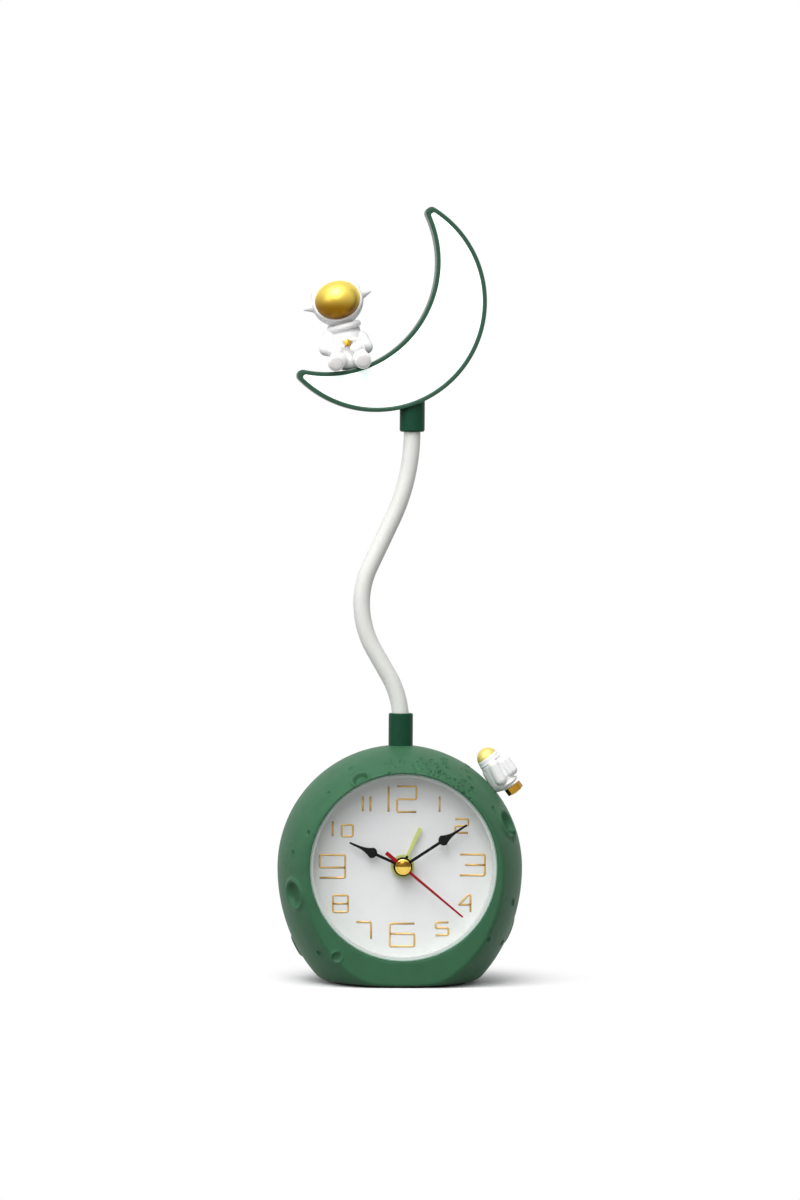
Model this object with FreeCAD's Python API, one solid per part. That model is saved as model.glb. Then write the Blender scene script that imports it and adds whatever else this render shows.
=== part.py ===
"""Alarm clock in a ball-shaped body with a flexible neck that carries a crescent moon lamp.

Millimetres. +Z is up, +X is to the right of someone who reads the dial, and the dial faces -Y.
The origin is the centre of the foot pad's underside. Hands and wheels turn about +Y,
and angles of hands and gears run clockwise from twelve o'clock.
"""
import FreeCAD, Part
import math
import os

V = FreeCAD.Vector
UP = V(0, 0, 1)
BACK = V(0, 1, 0)
RIGHT = V(1, 0, 0)

# Fits that every piece shares
overrun = 1.0
loose_fit = 0.1
slide_fit = 0.2
pivot_fit = 0.05

# Body of the clock
ball_radius = 52.7
ball_height = 49.5
belly_height = 63.2
wall = 2.2
pad_thickness = 0.8
pad_radius = 29.0
pad_recess = 0.3
front_plane = 31.0
back_plane = 31.0
front_plate = 2.4
back_ledge_depth = 3.9
crease_radius = 1.2
seam_gap = 0.06

# Craters: turn about the body from the front, height angle, radius and depth as shares of the ball's radius
crater_turn_height_radius_depth_shares = (
    (-63, -11, 0.107, 0.024),
    (-32.5, 48.7, 0.066, 0.020),
    (66.8, 22.6, 0.102, 0.024),
    (69.5, 16.6, 0.042, 0.016),
    (-41, -40, 0.040, 0.012),
    (-118, 24, 0.120, 0.024),
    (-148, -28, 0.090, 0.022),
    (124, 36, 0.105, 0.024),
    (152, -34, 0.075, 0.020),
    (98, -30, 0.110, 0.024),
    (-96, -38, 0.075, 0.020),
    (176, 62, 0.085, 0.022),
)

# Window and dial
dial_rise = 1.9
window_radius = 40.2
lens_setback = 0.5
lens_thickness = 1.9
lens_chamfer = 0.9
spacer_wall = 1.6
spacer_depth = 9.0
dial_thickness = 1.0
dial_hole_radius = 4.0
numeral_thickness = 0.15
numeral_stroke = 0.85

# Strokes of the numerals, as shares of each figure's width and height
figure_stroke_shares = {
    "0": ((0, 0), (0, 1), (1, 1), (1, 0), (0, 0)),
    "1": ((0.5, 0), (0.5, 1)),
    "2": ((0, 1), (1, 1), (1, 0.5), (0, 0.5), (0, 0), (1, 0)),
    "3": ((0, 1), (1, 1), (1, 0.5), (0.2, 0.5), (1, 0.5), (1, 0), (0, 0)),
    "4": ((1, 0), (1, 1), (0.8, 1), (0, 0.42), (1, 0.42)),
    "5": ((1, 1), (0, 1), (0, 0.55), (1, 0.55), (1, 0), (0, 0)),
    "6": ((1, 1), (0, 1), (0, 0), (1, 0), (1, 0.55), (0, 0.55)),
    "7": ((0, 1), (1, 1), (1, 0)),
    "8": ((0, 0), (0, 1), (1, 1), (1, 0), (0, 0), (0, 0.5), (1, 0.5)),
    "9": ((0, 0), (1, 0), (1, 1), (0, 1), (0, 0.45), (1, 0.45)),
}
# Figures on the dial: which, then middle to the right, middle upwards, width and height,
# as shares of the window
figure_place_shares = (
    ("1", -0.152, 0.712, 0.0, 0.270), ("2", 0.041, 0.712, 0.205, 0.270),
    ("1", 0.391, 0.661, 0.0, 0.162),
    ("2", 0.629, 0.430, 0.138, 0.145),
    ("3", 0.746, 0.015, 0.265, 0.222),
    ("4", 0.666, -0.396, 0.126, 0.178),
    ("5", 0.427, -0.667, 0.138, 0.136),
    ("6", 0.002, -0.734, 0.262, 0.243),
    ("7", -0.408, -0.686, 0.158, 0.178),
    ("8", -0.656, -0.402, 0.160, 0.178),
    ("9", -0.744, -0.005, 0.270, 0.243),
    ("1", -0.742, 0.396, 0.0, 0.160), ("0", -0.588, 0.375, 0.118, 0.122),
    ("1", -0.424, 0.661, 0.0, 0.158), ("1", -0.344, 0.661, 0.0, 0.158),
)

# Coaxial arbors behind the hands, from the middle outwards
seconds_arbor_radius = 0.5
tube_gap = 0.1
centre_tube_wall = 0.3
cannon_wall = 0.4
hour_tube_wall = 0.5
alarm_tube_wall = 0.5
bush_wall = 1.1

# Hands, each measured from the arbor, with the time that the clock shows
hand_thickness = 0.4
hand_pitch = 1.3
alarm_hand_lift = 1.3
hour_hand_length = 25.0
minute_hand_length = 32.7
second_hand_length = 33.5
second_hand_tail = 9.5
alarm_hand_length = 18.0
hour_angle = 294.0
minute_angle = 56.7
second_angle = 129.8
alarm_angle = 24.8
hand_boss_radius = 4.0
alarm_boss_radius = 5.0
second_boss_radius = 2.6
leaf_hand_width = 1.1
leaf_width = 4.6
leaf_start_share = 0.42
leaf_middle_share = 0.6
leaf_end_share = 0.78
hand_tip_width = 0.5
second_hand_width = 0.9
alarm_hand_width = 1.5
cap_radius = 3.4
cap_height = 1.3

# Clock movement
case_width = 56.0
case_corner = 4.0
case_plate = 1.6
case_wall = 1.4
case_depth = 17.0
middle_plate = 1.0
bush_reach = 1.7
level_gap = 0.4
wheel_thickness = 0.8
train_arbor_radius = 0.5
post_radius = 0.75
knob_shaft_radius = 1.0
motion_module = 0.5
hour_module = 0.4
fine_module = 0.2
seconds_module = 0.3
pinion_teeth = 12
motion_teeth = 36
hour_teeth = 48
seconds_teeth = 60
third_teeth = 96
centre_teeth = 90
intermediate_teeth = 72
addendum_share = 0.6
dedendum_share = 1.0
pressure_angle = 20.0
tooth_slack = 0.05
motion_angle = -60.0
alarm_knob_angle = 60.0
third_angle = 180.0
intermediate_angle = 120.0
rotor_magnet_radius = 3.0
rotor_magnet_length = 2.0
stator_gap = 0.4
stator_thickness = 1.0
stator_ring = 3.0
stator_arm = 4.0
coil_length = 16.0
coil_radius = 2.4
coil_core_width = 2.2
board_thickness = 1.0
board_width = 22.0
board_height = 14.0
board_edge = 2.2

# Back panel and what it carries
panel_radius = 38.0
panel_thickness = 2.4
ledge_width = 3.8
knob_radius = 6.0
knob_height = 7.0
knob_lift = 0.8
knob_flutes = 18
flute_radius = 0.7
knob_edge = 0.8
bush_hole_fit = 0.15
switch_place = (-14.0, 22.0)
switch_travel = 3.0
switch_width = 5.0
switch_height = 3.6
switch_lift = 1.6
switch_stem_width = 2.4
switch_stem_height = 1.8
switch_flange = 1.0
button_place = (14.0, 22.0)
button_radius = 3.6
button_lift = 1.4
button_travel = 1.0
button_flange = 0.9
buzzer_place = (-6.0, 15.5)
buzzer_radius = 5.0
buzzer_thickness = 3.0
sound_hole_radius = 0.7
sound_hole_circle = 3.6
sound_hole_count = 6
cell_radius = 5.25
cell_length = 44.5
cell_nub_radius = 1.9
cell_nub = 0.8
tray_wall = 1.2
tray_clearance = 0.6
tray_top = -8.5
tray_depth_margin = 1.1
contact_thickness = 0.4
contact_height = 8.0
door_thickness = 1.6
door_grip_width = 10.0
door_grip_height = 1.2
door_grip_depth = 0.5
door_grips = 3
usb_width = 9.0
usb_height = 3.3
usb_depth = 7.4
usb_wall = 0.35
usb_tongue_height = 0.7
usb_tongue_setback = 1.2
usb_corner = 1.6
usb_place_height = -30.0
lamp_board_width = 18.0
lamp_board_length = 20.0
screw_circle = 36.0
screw_angles = (30.0, -30.0, 160.0, -160.0)
screw_head_radius = 1.7
screw_head_height = 1.1
screw_shank_radius = 0.9
screw_length = 8.0
screw_slot_width = 0.5
screw_slot_depth = 0.5
boss_radius = 2.6
boss_length = 9.0

# Weight and cell in the foot of the body
ballast_room_share = 0.294
lamp_cell_length = 46.0
lamp_cell_width = 30.0
lamp_cell_room_share = 0.392
lamp_cell_corner = 3.0

# Flexible neck: runs of straight length, bend radius and turn to the right in degrees
lower_collar_radius = 5.25
lower_collar_height = 13.7
lower_collar_edge = 0.6
collar_flange_radius = 8.0
collar_flange = 1.8
collar_seat_drop = 0.9
sleeve_radius = 3.6
sleeve_bore = 2.5
sleeve_depth = 11.9
core_radius = 2.2
core_foot = 4.0
neck_straight_start = 8.0
neck_straight_low = 12.7
neck_straight_high = 22.3
neck_straight_end = 9.0
neck_bend_low = 40.0
neck_bend_mid = 41.0
neck_bend_high = 36.0
neck_bend_top = 90.0
neck_lean = 30.0
neck_return = 25.0
neck_runs = (
    (neck_straight_start, neck_bend_low, -neck_lean),
    (neck_straight_low, neck_bend_mid, neck_lean),
    (0, neck_bend_high, neck_return),
    (neck_straight_high, neck_bend_top, -neck_return),
    (neck_straight_end, 0, 0),
)
knuckle_count = 5
first_knuckle = 24.0
knuckle_pitch = 24.0
knuckle_radius = 1.7
knuckle_half_tongue = 0.7
knuckle_half_width = 1.6
knuckle_web = 1.2
knuckle_reach = 2.0
knuckle_pin_radius = 0.5
sleeve_end_short = 2.0

# Crescent lamp at the end of the neck
moon_radius = 47.3
moon_bite_radius = 47.35
moon_middle_left = 15.9
moon_middle_up = 55.7
bite_left = 21.8
bite_up = 17.0
moon_depth = 14.0
moon_rim = 1.7
moon_back = 1.6
moon_tip_radius = 1.5
diffuser_tip_radius = 0.8
diffuser_thickness = 1.6
diffuser_setback = 0.25
light_board_margin = 5.0
light_board_tip_radius = 1.0
light_board_thickness = 1.2
light_size = 2.8
light_height = 0.8
light_count = 9
light_spread = 96.0
upper_collar_radius = 5.4
upper_collar_edge = 1.0

# Seated figure on the crescent, as built up from balls and rounded limbs
figure_side = -22.8
helmet_radius = 11.4
helmet_place = (-5.9, -1.0, 29.6)
head_tilt = 16.0
visor_radius = 10.0
visor_squash_share = 0.84
visor_bulge = 2.2
visor_plane_share = 0.43
torso_radius = 7.6
torso_low = (0.0, 1.0, 7.0)
torso_high = (-1.8, 0.4, 12.2)
collar_ring_radius = 6.2
collar_ring_wire = 1.5
collar_ring_place = (-2.9, 0.0, 18.6)
pack_radius = 4.2
pack_side = 3.2
pack_low = (-0.8, 8.6, 8.5)
pack_high = (-2.6, 8.6, 17.0)
arm_radius = 3.3
arm_lean = 1.8
shoulder = (7.0, -1.0, 14.0)
elbow = (10.0, -3.5, 8.4)
hand_place = (6.0, -8.6, 9.0)
leg_radius = 3.7
hip = (4.2, -2.0, 3.4)
knee = (5.6, -9.0, 3.8)
boot_ankle = (6.2, -13.2, 2.0)
boot_toe = (6.4, -13.6, 4.4)
boot_radius = 3.6
ear_radius = 2.6
ear_tip_radius = 0.5
ear_start = 9.8
ear_reach = 15.2
star_points = 5
star_radius = 2.2
star_inner_share = 0.5
star_thickness = 0.8
star_place = (-1.6, -7.9, 11.4)

# Small figure that lies on the body, its length along the slope of the ball
lying_angle = 44.0
lying_lean = 9.0
lying_forward = 3.0
lying_head_radius = 4.9
lying_head_along = 6.2
lying_head_lift = 6.4
lying_visor_radius = 4.7
lying_visor_bulge = 0.7
lying_visor_start = 0.5
lying_body_radius = 4.9
lying_body_start = 3.0
lying_body_end = -1.8
lying_body_lift = 6.3
lying_leg_radius = 2.6
lying_leg_side = 2.6
lying_leg_lift = 4.4
lying_leg_end = -5.0
lying_foot_lift = 2.2
lying_foot_radius = 2.3
lying_arm_radius = 2.0
lying_arm_side = 5.0
lying_pack_radius = 2.9
lying_pack_lift = 11.0
lying_pack_start = 1.6
lying_pack_end = -3.0
lying_ring_radius = 4.3
lying_ring_start = -4.0
lying_ring_end = -8.6
lying_ring_lift = 7.7
lying_star_radius = 4.3
lying_star_thickness = 4.6

# Values that follow from the sizes above
shell_floor = pad_thickness
dial_height = ball_height + dial_rise
ledge_radius = panel_radius - ledge_width
room_under_case = dial_height - case_width / 2 - shell_floor - wall
ballast_thickness = ballast_room_share * room_under_case
ballast_radius = back_plane - back_ledge_depth - 2 * loose_fit
lamp_cell_height = lamp_cell_room_share * room_under_case
lens_front = -(front_plane - lens_setback)
lens_back = lens_front + lens_thickness
dial_front = lens_back + spacer_depth
dial_back = dial_front + dial_thickness
case_front = dial_back
case_back = case_front + case_depth
panel_front = back_plane - panel_thickness
centre_tube_radius = seconds_arbor_radius + tube_gap + centre_tube_wall
cannon_radius = centre_tube_radius + tube_gap + cannon_wall
hour_tube_radius = cannon_radius + tube_gap + hour_tube_wall
alarm_tube_radius = hour_tube_radius + tube_gap + alarm_tube_wall
bush_radius = alarm_tube_radius + tube_gap + bush_wall
motion_distance = motion_module * (pinion_teeth + motion_teeth) / 2
hour_pinion_module = 2 * motion_distance / (pinion_teeth + hour_teeth)
third_distance = fine_module * (pinion_teeth + third_teeth) / 2
centre_module = 2 * third_distance / (pinion_teeth + centre_teeth)
intermediate_distance = seconds_module * (pinion_teeth + seconds_teeth) / 2
rotor_distance = fine_module * (pinion_teeth + intermediate_teeth) / 2
alarm_distance = hour_module * (pinion_teeth + hour_teeth) / 2


def toward(angle, distance, start=(0, 0)):
    """Place at a distance from a start, in a clock direction: returns right and up."""
    turn = math.radians(angle)
    return start[0] + distance * math.sin(turn), start[1] + distance * math.cos(turn)


motion_place = toward(motion_angle, motion_distance)
time_knob_place = (motion_place[0] - motion_distance, motion_place[1])
alarm_knob_place = toward(alarm_knob_angle, alarm_distance)
third_place = toward(third_angle, third_distance)
intermediate_place = toward(intermediate_angle, intermediate_distance)
rotor_place = toward(intermediate_angle, rotor_distance, intermediate_place)

parts = {}


def keep(name, shape):
    """File a finished piece under its name."""
    parts[name] = shape.removeSplitter()


def rod(radius, start, end, place=(0, 0)):
    """Round bar along Y at a place given as right and up from the dial's middle."""
    return Part.makeCylinder(radius, end - start, V(place[0], start, dial_height + place[1]), BACK)


def ring(outer, inner, start, end, place=(0, 0)):
    """Round tube along Y."""
    return rod(outer, start, end, place).cut(rod(inner, start - overrun, end + overrun, place))


def post(radius, low, high, x=0, y=0):
    """Round bar along Z."""
    return Part.makeCylinder(radius, high - low, V(x, y, low), UP)


def block(x0, x1, y0, y1, z0, z1):
    """Rectangular block between its limits."""
    return Part.makeBox(x1 - x0, y1 - y0, z1 - z0, V(x0, y0, z0))


def panel_block(middle, width, height, start, end):
    """Block centred on a place of the dial or the back panel."""
    x, z = middle[0], dial_height + middle[1]
    return block(x - width / 2, x + width / 2, start, end, z - height / 2, z + height / 2)


def edges_along(shape, axis):
    """Straight edges of a shape that run along an axis."""
    chosen = []
    for edge in shape.Edges:
        if edge.Curve.TypeId == "Part::GeomLine" and abs(abs(edge.tangentAt(0).dot(axis)) - 1) < 1e-6:
            chosen.append(edge)
    return chosen


def rounded_block(width, height, corner, start, end):
    """Block about the dial's middle with its four corners rounded."""
    plain = panel_block((0, 0), width, height, start, end)
    return plain.makeFillet(corner, edges_along(plain, BACK))


def limb(start, end, radius):
    """Bar with ball ends between two points."""
    start, end = V(*start), V(*end)
    span = end - start
    bar = Part.makeCylinder(radius, span.Length, start, span)
    return bar.fuse([Part.makeSphere(radius, start), Part.makeSphere(radius, end)])


def rim_edges(shape, plane_y, radius):
    """Round edges of one radius that lie in a plane across Y."""
    chosen = []
    for edge in shape.Edges:
        flat = abs(edge.BoundBox.YMin - plane_y) + abs(edge.BoundBox.YMax - plane_y) < loose_fit
        if flat and edge.Curve.TypeId == "Part::GeomCircle" and abs(edge.Curve.Radius - radius) < loose_fit:
            chosen.append(edge)
    return chosen


# Ball-shaped shells

def ball(shrink, floor):
    """Solid of the body's outer form, shrunk by a wall, that starts at a floor height."""
    radius = ball_radius - shrink
    belly = belly_height - shrink
    drop = ball_height - floor
    foot = radius * math.sqrt(1 - (drop / belly) ** 2)
    middle = V(0, 0, ball_height)
    top = V(0, 0, ball_height + radius)
    side = V(radius, 0, ball_height)
    shoulder_point = middle + V(radius * math.cos(math.pi / 4), 0, radius * math.sin(math.pi / 4))
    ellipse = Part.Ellipse(V(0, 0, ball_height - belly), side, middle)
    low = V(foot, 0, floor)
    first, last = sorted((ellipse.parameter(low), ellipse.parameter(side)))
    if last - first > math.pi:
        first, last = last, first + 2 * math.pi
    outline = [
        Part.LineSegment(V(0, 0, floor), low).toShape(),
        Part.ArcOfEllipse(ellipse, first, last).toShape(),
        Part.Arc(side, shoulder_point, top).toShape(),
        Part.LineSegment(top, V(0, 0, floor)).toShape(),
    ]
    face = Part.Face(Part.Wire(Part.sortEdges(outline)[0]))
    return face.revolve(V(0, 0, 0), UP, 360)


def half_space(front):
    """Large block on one side of the seam."""
    reach = ball_radius + overrun
    y0, y1 = (-reach, -seam_gap / 2) if front else (seam_gap / 2, reach)
    return block(-reach, reach, y0, y1, -overrun, ball_height + reach)


def crater_cutter(turn, height, radius, depth):
    """Ball that leaves one shallow crater in the body's surface."""
    bowl = (radius ** 2 + depth ** 2) / (2 * depth)
    rise, round_turn = math.radians(height), math.radians(turn)
    out = V(math.cos(rise) * math.sin(round_turn), -math.cos(rise) * math.cos(round_turn), math.sin(rise))
    squash = belly_height if height < 0 else ball_radius
    reach = 1 / math.sqrt((math.cos(rise) / ball_radius) ** 2 + (math.sin(rise) / squash) ** 2)
    return Part.makeSphere(bowl, V(0, 0, ball_height) + out * (reach - depth + bowl))


def shells():
    """Front and rear shell, with window, back opening, neck hole and craters."""
    reach = ball_radius + overrun
    outer = ball(0, shell_floor)
    flats = [
        block(-reach, reach, -reach, -front_plane, -overrun, ball_height + reach),
        block(-reach, reach, back_plane, reach, -overrun, ball_height + reach),
    ]
    outer = outer.cut(flats)
    creases = []
    for edge in outer.Edges:
        near, far = abs(edge.BoundBox.YMin), abs(edge.BoundBox.YMax)
        if abs(near - front_plane) + abs(far - front_plane) < loose_fit:
            creases.append(edge)
    outer = outer.makeFillet(crease_radius, creases)
    inner = ball(wall, shell_floor + wall)
    inner = inner.cut([
        block(-reach, reach, -reach, -front_plane + front_plate, -overrun, ball_height + reach),
        block(-reach, reach, back_plane - back_ledge_depth, reach, -overrun, ball_height + reach),
    ])
    hollow = outer.cut(inner)
    cuts = [
        rod(window_radius, -reach, dial_back),
        rod(panel_radius + loose_fit, panel_front, reach),
        rod(ledge_radius, 0, reach),
        post(lower_collar_radius + loose_fit, ball_height, ball_height + reach),
    ]
    for turn, height, radius_share, depth_share in crater_turn_height_radius_depth_shares:
        cuts.append(crater_cutter(turn, height, radius_share * ball_radius, depth_share * ball_radius))
    hollow = hollow.cut(cuts)
    bosses = []
    pilots = []
    for angle in screw_angles:
        place = toward(angle, screw_circle)
        bosses.append(rod(boss_radius, panel_front - boss_length, panel_front, place))
        pilots.append(rod(screw_shank_radius + pivot_fit, panel_front - boss_length + wall,
                          panel_front + overrun, place))
    rim = ball(loose_fit, shell_floor)
    hollow = hollow.fuse([boss.common(rim) for boss in bosses]).cut(pilots)
    recess = post(pad_radius + loose_fit, 0, shell_floor + pad_recess)
    hollow = hollow.cut(recess)
    keep("front_shell", hollow.common(half_space(True)))
    keep("rear_shell", hollow.common(half_space(False)))


# Window, dial and figures

def window_and_dial():
    """Lens with a chamfered edge, the white ring behind it, and the dial."""
    lens_radius = window_radius - loose_fit
    lens = rod(lens_radius, lens_front, lens_back)
    lens = lens.makeChamfer(lens_chamfer, rim_edges(lens, lens_front, lens_radius))
    keep("lens", lens)
    keep("spacer_ring", ring(lens_radius, lens_radius - spacer_wall, lens_back, dial_front))
    keep("dial_plate", ring(lens_radius, dial_hole_radius, dial_front, dial_back))


def stroke(start, end):
    """Flat stroke with square ends between two points on the dial."""
    span = end - start
    half = numeral_stroke / 2
    bar = block(-half, span.Length + half, dial_front - numeral_thickness, dial_front, -half, half)
    bar.rotate(V(0, 0, 0), BACK, -math.degrees(math.atan2(span.z, span.x)))
    bar.translate(start)
    return bar


def figure(text, right_share, up_share, width_share, height_share):
    """One figure of the dial as thin strokes."""
    width, height = width_share * window_radius, height_share * window_radius
    left = right_share * window_radius - width / 2
    low = dial_height + up_share * window_radius - height / 2
    corners = [V(left + a * width, 0, low + b * height) for a, b in figure_stroke_shares[text]]
    strokes = [stroke(start, end) for start, end in zip(corners, corners[1:])]
    shape = strokes[0].fuse(strokes[1:]) if strokes[1:] else strokes[0]
    return shape.removeSplitter()


def numerals():
    """All the figures, as one group of flat solids on the dial."""
    keep("dial_numerals", Part.makeCompound([figure(*row) for row in figure_place_shares]))


# Gears

def involute_point(base, radius, middle):
    """Point of an involute flank at a radius, turned so that the tooth's middle is at an angle."""
    roll = math.sqrt(max((radius / base) ** 2 - 1, 0))
    return middle + roll - math.atan(roll)


def tooth_edges(module, teeth, phase, number):
    """Edges of one tooth and of the gap after it, anticlockwise in the gear's own plane."""
    pitch = module * teeth / 2
    tip = pitch + addendum_share * module
    root = pitch - dedendum_share * module
    base = pitch * math.cos(math.radians(pressure_angle))
    start = max(base, root)
    half_tooth = math.pi / 2 / teeth - tooth_slack / pitch
    at_pitch = involute_point(base, pitch, 0)
    step = 2 * math.pi / teeth
    middle = phase + number * step

    def flank(radius, side):
        turn = half_tooth + at_pitch - involute_point(base, radius, 0)
        angle = middle + side * turn
        return V(radius * math.sin(angle), 0, radius * math.cos(angle))

    def on_root(angle):
        return V(root * math.sin(angle), 0, root * math.cos(angle))

    foot = half_tooth + at_pitch
    next_foot = middle + step - foot
    edges = []
    if root < start:
        edges.append(Part.LineSegment(on_root(middle - foot), flank(start, -1)))
    edges.append(Part.Arc(flank(start, -1), flank((start + tip) / 2, -1), flank(tip, -1)))
    crown = V(tip * math.sin(middle), 0, tip * math.cos(middle))
    edges.append(Part.Arc(flank(tip, -1), crown, flank(tip, 1)))
    edges.append(Part.Arc(flank(tip, 1), flank((start + tip) / 2, 1), flank(start, 1)))
    low_end = middle + foot
    if root < start:
        edges.append(Part.LineSegment(flank(start, 1), on_root(low_end)))
        gap_start, gap_end = on_root(low_end), on_root(next_foot)
    else:
        gap_start = flank(start, 1)
        turned = FreeCAD.Rotation(BACK, math.degrees(step))
        gap_end = turned.multVec(flank(start, -1))
    gap_middle = middle + step / 2
    gap_floor = V(root * math.sin(gap_middle), 0, root * math.cos(gap_middle))
    edges.append(Part.Arc(gap_start, gap_floor, gap_end))
    return [edge.toShape() for edge in edges]


def gear(module, teeth, phase, place, start, bore):
    """Toothed wheel at a place, one wheel thick, with a round bore."""
    edges = []
    for number in range(teeth):
        edges += tooth_edges(module, teeth, math.radians(phase), number)
    face = Part.Face(Part.Wire(edges))
    wheel = face.extrude(BACK * wheel_thickness)
    wheel.translate(V(place[0], start, dial_height + place[1]))
    if bore:
        wheel = wheel.cut(rod(bore, start - overrun, start + wheel_thickness + overrun, place))
    return wheel


def meshed(phase, teeth, place, other_teeth, other_place):
    """Phase that puts a second gear's gap opposite a tooth of the first."""
    line = math.degrees(math.atan2(other_place[0] - place[0], other_place[1] - place[1]))
    return line + 180 - teeth / other_teeth * (phase - line) - 180 / other_teeth


# Levels of the movement, from the dial backwards
level_step = wheel_thickness + level_gap
alarm_level = case_front + case_plate + level_gap
hour_level = alarm_level + level_step
motion_level = hour_level + level_step
middle_front = motion_level + wheel_thickness + level_gap
middle_back = middle_front + middle_plate
centre_level = middle_back + level_gap
third_level = centre_level + level_step
seconds_level = third_level + level_step
intermediate_level = seconds_level + level_step
magnet_start = intermediate_level + level_step
magnet_end = magnet_start + rotor_magnet_length
back_plate_front = case_back - case_plate
board_start = back_plate_front - board_thickness

# Phases of the teeth, each wheel meshed with the pinion that turns it
rotor_phase = 0.0
intermediate_phase = meshed(rotor_phase, pinion_teeth, rotor_place, intermediate_teeth, intermediate_place)
seconds_phase = meshed(0, pinion_teeth, intermediate_place, seconds_teeth, (0, 0))
third_phase = meshed(0, pinion_teeth, (0, 0), third_teeth, third_place)
centre_phase = meshed(0, pinion_teeth, third_place, centre_teeth, (0, 0))
motion_phase = meshed(0, pinion_teeth, (0, 0), motion_teeth, motion_place)
hour_phase = meshed(0, pinion_teeth, motion_place, hour_teeth, (0, 0))
time_pinion_phase = meshed(motion_phase, motion_teeth, motion_place, pinion_teeth, time_knob_place)
alarm_wheel_phase = 0.0
alarm_pinion_phase = meshed(alarm_wheel_phase, hour_teeth, (0, 0), pinion_teeth, alarm_knob_place)


def train():
    """Wheels and arbors between the stepping rotor and the hands."""
    arbor_end = case_back - case_plate / 2
    arbor_start = middle_back - middle_plate / 2
    rotor = gear(fine_module, pinion_teeth, rotor_phase, rotor_place, intermediate_level, 0)
    rotor = rotor.fuse([
        rod(train_arbor_radius, arbor_start, arbor_end, rotor_place),
        rod(rotor_magnet_radius, magnet_start, magnet_end, rotor_place),
    ])
    keep("rotor", rotor)
    wheel = gear(fine_module, intermediate_teeth, intermediate_phase, intermediate_place,
                 intermediate_level, 0)
    wheel = wheel.fuse([
        rod(train_arbor_radius, arbor_start, arbor_end, intermediate_place),
        gear(seconds_module, pinion_teeth, 0, intermediate_place, seconds_level, 0),
    ])
    keep("intermediate_wheel", wheel)
    wheel = gear(seconds_module, seconds_teeth, seconds_phase, (0, 0), seconds_level, 0)
    wheel = wheel.fuse([
        rod(seconds_arbor_radius, second_hand_y, arbor_end),
        gear(fine_module, pinion_teeth, 0, (0, 0), third_level, 0),
    ])
    keep("seconds_wheel", wheel)
    wheel = gear(fine_module, third_teeth, third_phase, third_place, third_level, 0)
    wheel = wheel.fuse([
        rod(train_arbor_radius, arbor_start, arbor_end, third_place),
        gear(centre_module, pinion_teeth, 0, third_place, centre_level, 0),
    ])
    keep("third_wheel", wheel)
    bore = seconds_arbor_radius + tube_gap
    wheel = gear(centre_module, centre_teeth, centre_phase, (0, 0), centre_level, bore)
    tube = ring(centre_tube_radius, bore, minute_hand_y + hand_thickness, centre_level)
    keep("centre_wheel", wheel.fuse(tube))


def motion_work():
    """Cannon pinion, motion wheel, hour wheel and alarm wheel."""
    bore = centre_tube_radius + tube_gap
    cannon = gear(motion_module, pinion_teeth, 0, (0, 0), motion_level, bore)
    keep("cannon_pinion", cannon.fuse(ring(cannon_radius, bore, minute_hand_y, motion_level)))
    bore = post_radius + pivot_fit
    motion = gear(motion_module, motion_teeth, motion_phase, motion_place, motion_level, bore)
    pinion = gear(hour_pinion_module, pinion_teeth, 0, motion_place, hour_level, bore)
    hub = ring(post_radius + pivot_fit + centre_tube_wall, bore, hour_level, motion_level, motion_place)
    keep("motion_wheel", motion.fuse([pinion, hub]))
    bore = cannon_radius + tube_gap
    wheel = gear(hour_pinion_module, hour_teeth, hour_phase, (0, 0), hour_level, bore)
    keep("hour_wheel", wheel.fuse(ring(hour_tube_radius, bore, hour_hand_y, hour_level)))
    bore = hour_tube_radius + tube_gap
    wheel = gear(hour_module, hour_teeth, alarm_wheel_phase, (0, 0), alarm_level, bore)
    keep("alarm_wheel", wheel.fuse(ring(alarm_tube_radius, bore, alarm_hand_y, alarm_level)))


# Hands
alarm_hand_y = dial_front - bush_reach + dial_thickness - alarm_hand_lift
hour_hand_y = alarm_hand_y - hand_pitch
minute_hand_y = hour_hand_y - hand_pitch
second_hand_y = minute_hand_y - hand_pitch


def hand_outline(points, arcs):
    """Closed outline of a hand: points along it, with half widths, mirrored, and arcs where marked."""
    right = [V(half, 0, along) for along, half in points]
    left = [V(-p.x, 0, p.z) for p in reversed(right)]
    edges = []
    for side, marks in ((right, arcs), (left, tuple(len(points) - 3 - n for n in arcs))):
        n = 0
        while n < len(side) - 1:
            if n in marks:
                edges.append(Part.Arc(side[n], side[n + 1], side[n + 2]).toShape())
                n += 2
            else:
                edges.append(Part.LineSegment(side[n], side[n + 1]).toShape())
                n += 1
    edges.append(Part.LineSegment(right[-1], left[0]).toShape())
    edges.append(Part.LineSegment(left[-1], right[0]).toShape())
    return Part.Face(Part.Wire(Part.sortEdges(edges)[0]))


def leaf_hand(length):
    """Slim hand with one leaf-shaped swelling and a fine point."""
    slim, tip = leaf_hand_width / 2, hand_tip_width / 2
    points = ((0, slim), (length * leaf_start_share, slim), (length * leaf_middle_share, leaf_width / 2),
              (length * leaf_end_share, slim), (length, tip))
    return hand_outline(points, (1,))


def stick_hand(length, tail, width):
    """Plain tapered hand with a tail."""
    return hand_outline(((-tail, width / 2), (length, hand_tip_width / 2)), ())


def mounted_hand(name, outline, y, boss, bore, angle):
    """Hand of sheet metal pressed on its arbor and turned to its time."""
    plate = outline.extrude(BACK * hand_thickness)
    plate = plate.fuse(Part.makeCylinder(boss, hand_thickness, V(0, 0, 0), BACK))
    plate = plate.cut(Part.makeCylinder(bore, hand_thickness + 2 * overrun, V(0, -overrun, 0), BACK))
    plate.rotate(V(0, 0, 0), BACK, angle)
    plate.translate(V(0, y, dial_height))
    keep(name, plate)


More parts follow.
